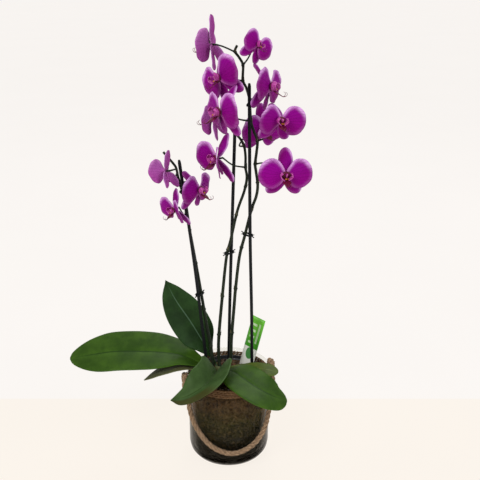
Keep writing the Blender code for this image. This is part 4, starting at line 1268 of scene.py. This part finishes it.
petal_front = petal_finish("petal_front", (0.170, 0.0006, 0.125), (0.250, 0.0012, 0.215),
                           (0.640, 0.330, 0.700), (0.095, 0.0004, 0.080), 0.85, 0.48)
petal_back = petal_finish("petal_back", (0.300, 0.030, 0.240), (0.420, 0.080, 0.370),
                          (0.580, 0.240, 0.560), (0.180, 0.015, 0.160), 0.80, 0.55)

# %% A petal or sepal: length and width in metres, angles from the top in degrees
PETAL = (0.046, 0.052)
SEPAL = (0.046, 0.0245)
PETAL_SPREAD = 86
SEPAL_SPREAD = 142
SEPAL_LEAN = 14
PETAL_THICK = 0.0006


def blade_point(x, y, angle, lean, lift, forward):
    """A point x along and y across a blade that leaves the hub at an angle from the top."""
    a = math.radians(angle)
    b = math.radians(lean)
    along = Vector((math.sin(a) * math.cos(b), math.sin(b), math.cos(a) * math.cos(b)))
    across = Vector((math.cos(a), 0.0, -math.sin(a)))
    front = across.cross(along)
    return along * x + across * y + front * lift + Vector((0, -forward, 0))


def blade(shape, size, angle, lean, forward, widen, seed, broad):
    """A round grid, drawn in at its claw, cupped, ribbed and ruffled at its rim."""
    length, width = size
    corners = grid_with_uv(shape, 26, 26, -1 if angle > 0 else 1)
    for corner in corners:
        s, t = corner.co.x, corner.co.y
        x = s * math.sqrt(1 - t * t / 2)
        y = t * math.sqrt(1 - s * s / 2)
        claw = 1 - 0.45 * max(0.0, -x) ** 3
        along = length * (x + 1) / 2
        across = width / 2 * y * (1 + widen * x) * claw
        rim = (x * x + y * y) ** 1.5
        turn = math.atan2(y, x)
        ruffle = rim * (0.0009 * math.sin(3 * turn + seed) + 0.0005 * math.sin(7 * turn + seed * 2.3)) * broad
        rib = -0.0007 * math.exp(-(y / 0.07) ** 2) * (1 - x) / 2
        lift = -0.05 * length * ((x + 1) / 2) ** 2 - 0.06 * width * y * y + ruffle + rib
        corner.co = blade_point(along, across, angle, lean, lift, forward)
    bmesh.ops.remove_doubles(shape, verts=corners, dist=1e-6)
    corners = [v for v in corners if v.is_valid]
    face_towards(shape, corners, (0, -1, 0))


# %% One flower's petals and sepals, and all thirteen
def build_flower(number):
    """Three sepals behind two petals, turned to the flower's own place."""
    sweep, lean = FLOWERS[number][5:]
    top = 0.0026 * math.sin(math.radians(lean)) - 0.0012
    shape = bmesh.new()
    blade(shape, SEPAL, 0, lean, top, 0.10, number, 0.6)
    blade(shape, SEPAL, SEPAL_SPREAD, SEPAL_LEAN, -0.0005, 0.10, number + 1, 0.6)
    blade(shape, SEPAL, -SEPAL_SPREAD, SEPAL_LEAN, -0.0018, 0.10, number + 2, 0.6)
    blade(shape, PETAL, PETAL_SPREAD, -sweep, 0.0008, 0.02, number + 3, 1.4)
    blade(shape, PETAL, -PETAL_SPREAD, -sweep, 0.0015, 0.02, number + 4, 1.4)
    bmesh.ops.transform(shape, matrix=face_turn(number), verts=shape.verts)
    name = "flower_%02d_petals" % number
    piece = finish_piece(name, shape, [petal_front, petal_back], ["flower_%02d_tepals" % number])
    thicken(piece, PETAL_THICK, 1)


for number in FLOWERS:
    build_flower(number)

# %% [markdown]
# ## Lips
# The lip is the small dark pouch in the middle. Two side lobes cup the mouth, an arrow-shaped middle
# lobe points forward with a pair of curled threads, a yellow lump sits between them, and the pale
# column stands over it all. All lips grow alike, so one pattern is made and copied to each flower.


# %% Lip finishes
def lip_finish(name, base, deep, streak, rough):
    made = Finish(name, Specular_IOR_Level=0.22, Coat_Roughness=0.25)
    patch = made.noise(260, 3, 0.55)
    lines = made.noise(210, 3, 0.6, where=made.stretched((3.2, 1, 1)))
    colour = made.mix(patch.above(0.35, 0.68), base, deep)
    made.feed("Base Color", made.mix(lines.above(0.55, 0.68) * 0.6, colour, streak))
    made.feed("Roughness", rough + patch * 0.15)
    made.feed("Coat Weight", 0.03 + patch * 0.07)
    made.bump(patch, 0.3, 0.0003)
    return made


lip_dark = lip_finish("lip_dark", (0.130, 0.0015, 0.030), (0.055, 0.0008, 0.016), (0.260, 0.010, 0.100), 0.36)
lip_pale = lip_finish("lip_pale", (0.420, 0.060, 0.310), (0.300, 0.012, 0.190), (0.620, 0.260, 0.520), 0.46)
callus = lip_finish("callus", (0.520, 0.220, 0.030), (0.300, 0.060, 0.012), (0.200, 0.010, 0.012), 0.40)
column_skin = lip_finish("column", (0.300, 0.014, 0.190), (0.190, 0.003, 0.110), (0.560, 0.260, 0.460), 0.40)
thread_skin = lip_finish("thread", (0.200, 0.070, 0.060), (0.110, 0.030, 0.030), (0.340, 0.180, 0.150), 0.45)
LIP_FINISHES = [lip_dark, lip_pale, callus, column_skin, thread_skin]

# %% The lobes of a lip
LIP_LENGTH = 22.0
LIP_MOUTH = 4.5


def walled(shape, corners, slot, thickness=0.0005):
    """Gives new sheet corners a finish and a wall."""
    faces = faces_of(corners)
    for face in faces:
        face.material_index = slot
    bmesh.ops.recalc_face_normals(shape, faces=faces)
    bmesh.ops.solidify(shape, geom=faces, thickness=thickness)


def side_lobe(shape, hand):
    """A lobe that stands up beside the mouth and curls in over it."""
    corners = bmesh.ops.create_grid(shape, x_segments=12, y_segments=14, size=1.0)["verts"]
    for corner in corners:
        front = (corner.co.x + 1) / 2
        high = (corner.co.y + 1) / 2
        shoulder = 1 - 0.30 * max(0.0, 2 * high - 1.1) ** 2 * (2 * front - 1) ** 2
        x = hand * (0.6 + 9.4 * math.sin(math.pi * (0.08 + 0.62 * high)) * shoulder)
        y = -(5.0 + 2.5 * high + front * (9.0 - 3.0 * high * high))
        z = -5.5 + 13.0 * high - 1.6 * high * (2 * front - 1) ** 2
        corner.co = Vector((x, y, z)) * MM
    walled(shape, corners, 1, 0.0013)


def middle_lobe(shape):
    """The arrow-shaped lobe that points forward and down."""
    corners = bmesh.ops.create_grid(shape, x_segments=20, y_segments=14, size=1.0)["verts"]
    for corner in corners:
        along = (corner.co.x + 1) / 2
        half = 1.6 + 5.6 * math.sin(math.pi * min(along * 0.9 + 0.05, 1.0)) ** 1.4
        y = -(LIP_MOUTH + (LIP_LENGTH - LIP_MOUTH) * along)
        cup = -0.10 * half * corner.co.y ** 2 + 0.5 * math.exp(-(corner.co.y / 0.15) ** 2) * along
        z = -4.5 - 7.5 * along ** 1.2 + cup
        corner.co = Vector((half * corner.co.y, y, z)) * MM
    walled(shape, corners, 0)


# %% One lip, and all thirteen: throat, column, its cap, lobes, lumps and threads (mm)
THREAD = [(0.6, -20.0, -11.5), (1.6, -24.5, -13.2), (3.2, -28.5, -11.5), (4.2, -29.0, -7.5),
          (4.0, -26.0, -5.8)]


def lip_ball(shape, centre, radii, slot, rings):
    ball(shape, *in_metres([centre, radii]), slot, rings)


def lip_pattern():
    """The lip of one flower about its hub."""
    shape = bmesh.new()
    lip_ball(shape, (0.0, -4.0, 0.2), (8.4, 2.0, 7.6), 0, 16)
    lip_ball(shape, (0.0, -6.6, 1.2), (2.1, 3.8, 3.8), 3, 14)
    lip_ball(shape, (0.0, -9.6, 3.6), (1.8, 1.5, 1.7), 1, 10)
    side_lobe(shape, 1)
    side_lobe(shape, -1)
    middle_lobe(shape)
    for hand in (-1, 1):
        lip_ball(shape, (hand * 1.7, -11.0, -3.2), (1.2, 2.2, 1.5), 2, 10)
        line = smooth_route(in_metres([(hand * x, y, z) for x, y, z in THREAD]), 0.0009)
        radii = np.linspace(0.00062, 0.00026, len(line))
        shape.from_mesh(rod_mesh("thread", [(line, radii, 4, False)], 2))
    return mesh_of("lip_pattern", shape)


pattern = lip_pattern()
for number in FLOWERS:
    shape = shape_of(pattern)
    bmesh.ops.transform(shape, matrix=face_turn(number), verts=shape.verts)
    name = "flower_%02d_mouth" % number
    finish_piece(name, shape, LIP_FINISHES, ["flower_%02d_lip" % number])

# %% [markdown]
# ## Plant label
# A thin plastic tag leans in the bark. It is green with a white foot and carries only plain marks: a
# few bars and a leaf shape. They could be cut pieces, but print has no thickness, so they are masks
# worked out from the tag's UV, which runs across and up it.

# %% Label finish
tag = Finish("tag", IOR=1.5)
across = tag.axis("X", "UV") - 0.5
up = tag.axis("Y", "UV")
soft = tag.noise(120, 4, 0.6)
green = tag.mix(up.above(0.35, 0.95), (0.035, 0.270, 0.012), (0.110, 0.440, 0.020))
ceiling = up.below(0.90, 0.91)
bars = ((up * 60).sine().above(0.2, 0.5)) * across.above(-0.34, -0.30) * across.below(0.02, 0.06)
bars = bars * up.above(0.52, 0.53) * ceiling
spine = across.above(0.16, 0.18) * across.below(0.30, 0.32) * up.above(0.55, 0.56) * ceiling
green = tag.mix(bars * 0.65 + spine * 0.5, green, (0.72, 0.85, 0.62))
leaf_mark = ((across * 3.4) ** 2.0 + ((up - 0.36) * 9.0) ** 2.0).below(0.75, 1.0)
foot = tag.mix(leaf_mark, (0.78, 0.80, 0.74), (0.060, 0.240, 0.060))
colour = tag.mix(up.above(0.455, 0.470), foot, green)
tag.feed("Base Color", tag.mix(soft.above(0.60, 0.80) * 0.25, colour, (0.16, 0.12, 0.07)))
tag.feed("Roughness", 0.30 + soft * 0.2)
tag.bump(soft, 0.05, 0.0003)

# %% Label
TAG_HALF = (0.012, 0.05)
TAG_CURVE = 0.0002
TAG_THICK = 0.0007
TAG_FOOT = (0.0245, 0.031, 0.122)
shape = bmesh.new()
corners = grid_with_uv(shape, 6, 16)
stand = Matrix.Translation(TAG_FOOT) @ rotation(13.6, "Y") @ rotation(-32, "Z")
for corner in corners:
    x, y = corner.co.x, corner.co.y
    corner.co = stand @ Vector((TAG_HALF[0] * x, TAG_CURVE * y ** 2, TAG_HALF[1] * (y + 1)))
face_towards(shape, corners, (0, -1, 0))
tag_piece = finish_piece("label_tag", shape, [tag], ["plant_label"])
thicken(tag_piece, TAG_THICK)

# %% [markdown]
# ## Floor and light
# A plain pale floor and soft studio light: a broad lamp high at the left, a weaker one at the right
# and one behind, in a pale surround. The floor's colour is mostly its own glow, so that it stays
# pale wherever the lamps are, and its near part, where the jar stands, is a warmer cream.

# %% Floor
ground = Finish("ground", Specular_IOR_Level=0.05, Emission_Strength=0.93)
near = ground.axis("Y").below(0.144, 0.150)
speck = ground.noise(3, 2, 0.5)
pale = ground.mix(near, (0.965, 0.930, 0.900), (0.965, 0.905, 0.835))
ground.feed("Emission Color", pale)
ground.feed("Base Color", ground.mix(0.93 + speck * 0.02, pale, (0, 0, 0)))
ground.feed("Roughness", 0.85 + speck * 0.1)
FLOOR_HALF = 20.0
FLOOR_GAP = 0.0002
shape = bmesh.new()
bmesh.ops.create_grid(shape, x_segments=4, y_segments=4, size=FLOOR_HALF)
floor = new_object("floor", mesh_of("floor", shape))
floor.data.materials.append(ground.material)
floor.location.z = -FLOOR_GAP
print("floor", FLOOR_HALF * 2, "m across")


# %% Lamps
AIM = Vector((0, 0, 0.3))


def soft_lamp(name, place, size, power, colour):
    """A round lamp that looks at the middle of the plant."""
    data = bpy.data.lights.new(name, "AREA")
    data.shape = "DISK"
    data.size = size
    data.energy = power
    data.color = colour
    lamp = new_object(name, data)
    lamp.location = place
    lamp.rotation_euler = (AIM - Vector(place)).to_track_quat("-Z", "Y").to_euler()
    print(name, "lamp", power, "W")


soft_lamp("key", (-1.0, -1.5, 1.9), 1.1, 34, (1.0, 0.98, 0.95))
soft_lamp("fill", (1.5, -1.0, 1.0), 1.4, 12, (0.96, 0.98, 1.0))
soft_lamp("back", (0.2, 1.4, 1.9), 1.2, 18, (1.0, 1.0, 1.0))
world = bpy.data.worlds.new("surround")
world.use_nodes = True
backdrop = world.node_tree.nodes["Background"]
backdrop.inputs["Color"].default_value = (0.96, 0.94, 0.91, 1.0)
backdrop.inputs["Strength"].default_value = 0.55
bpy.context.scene.world = world
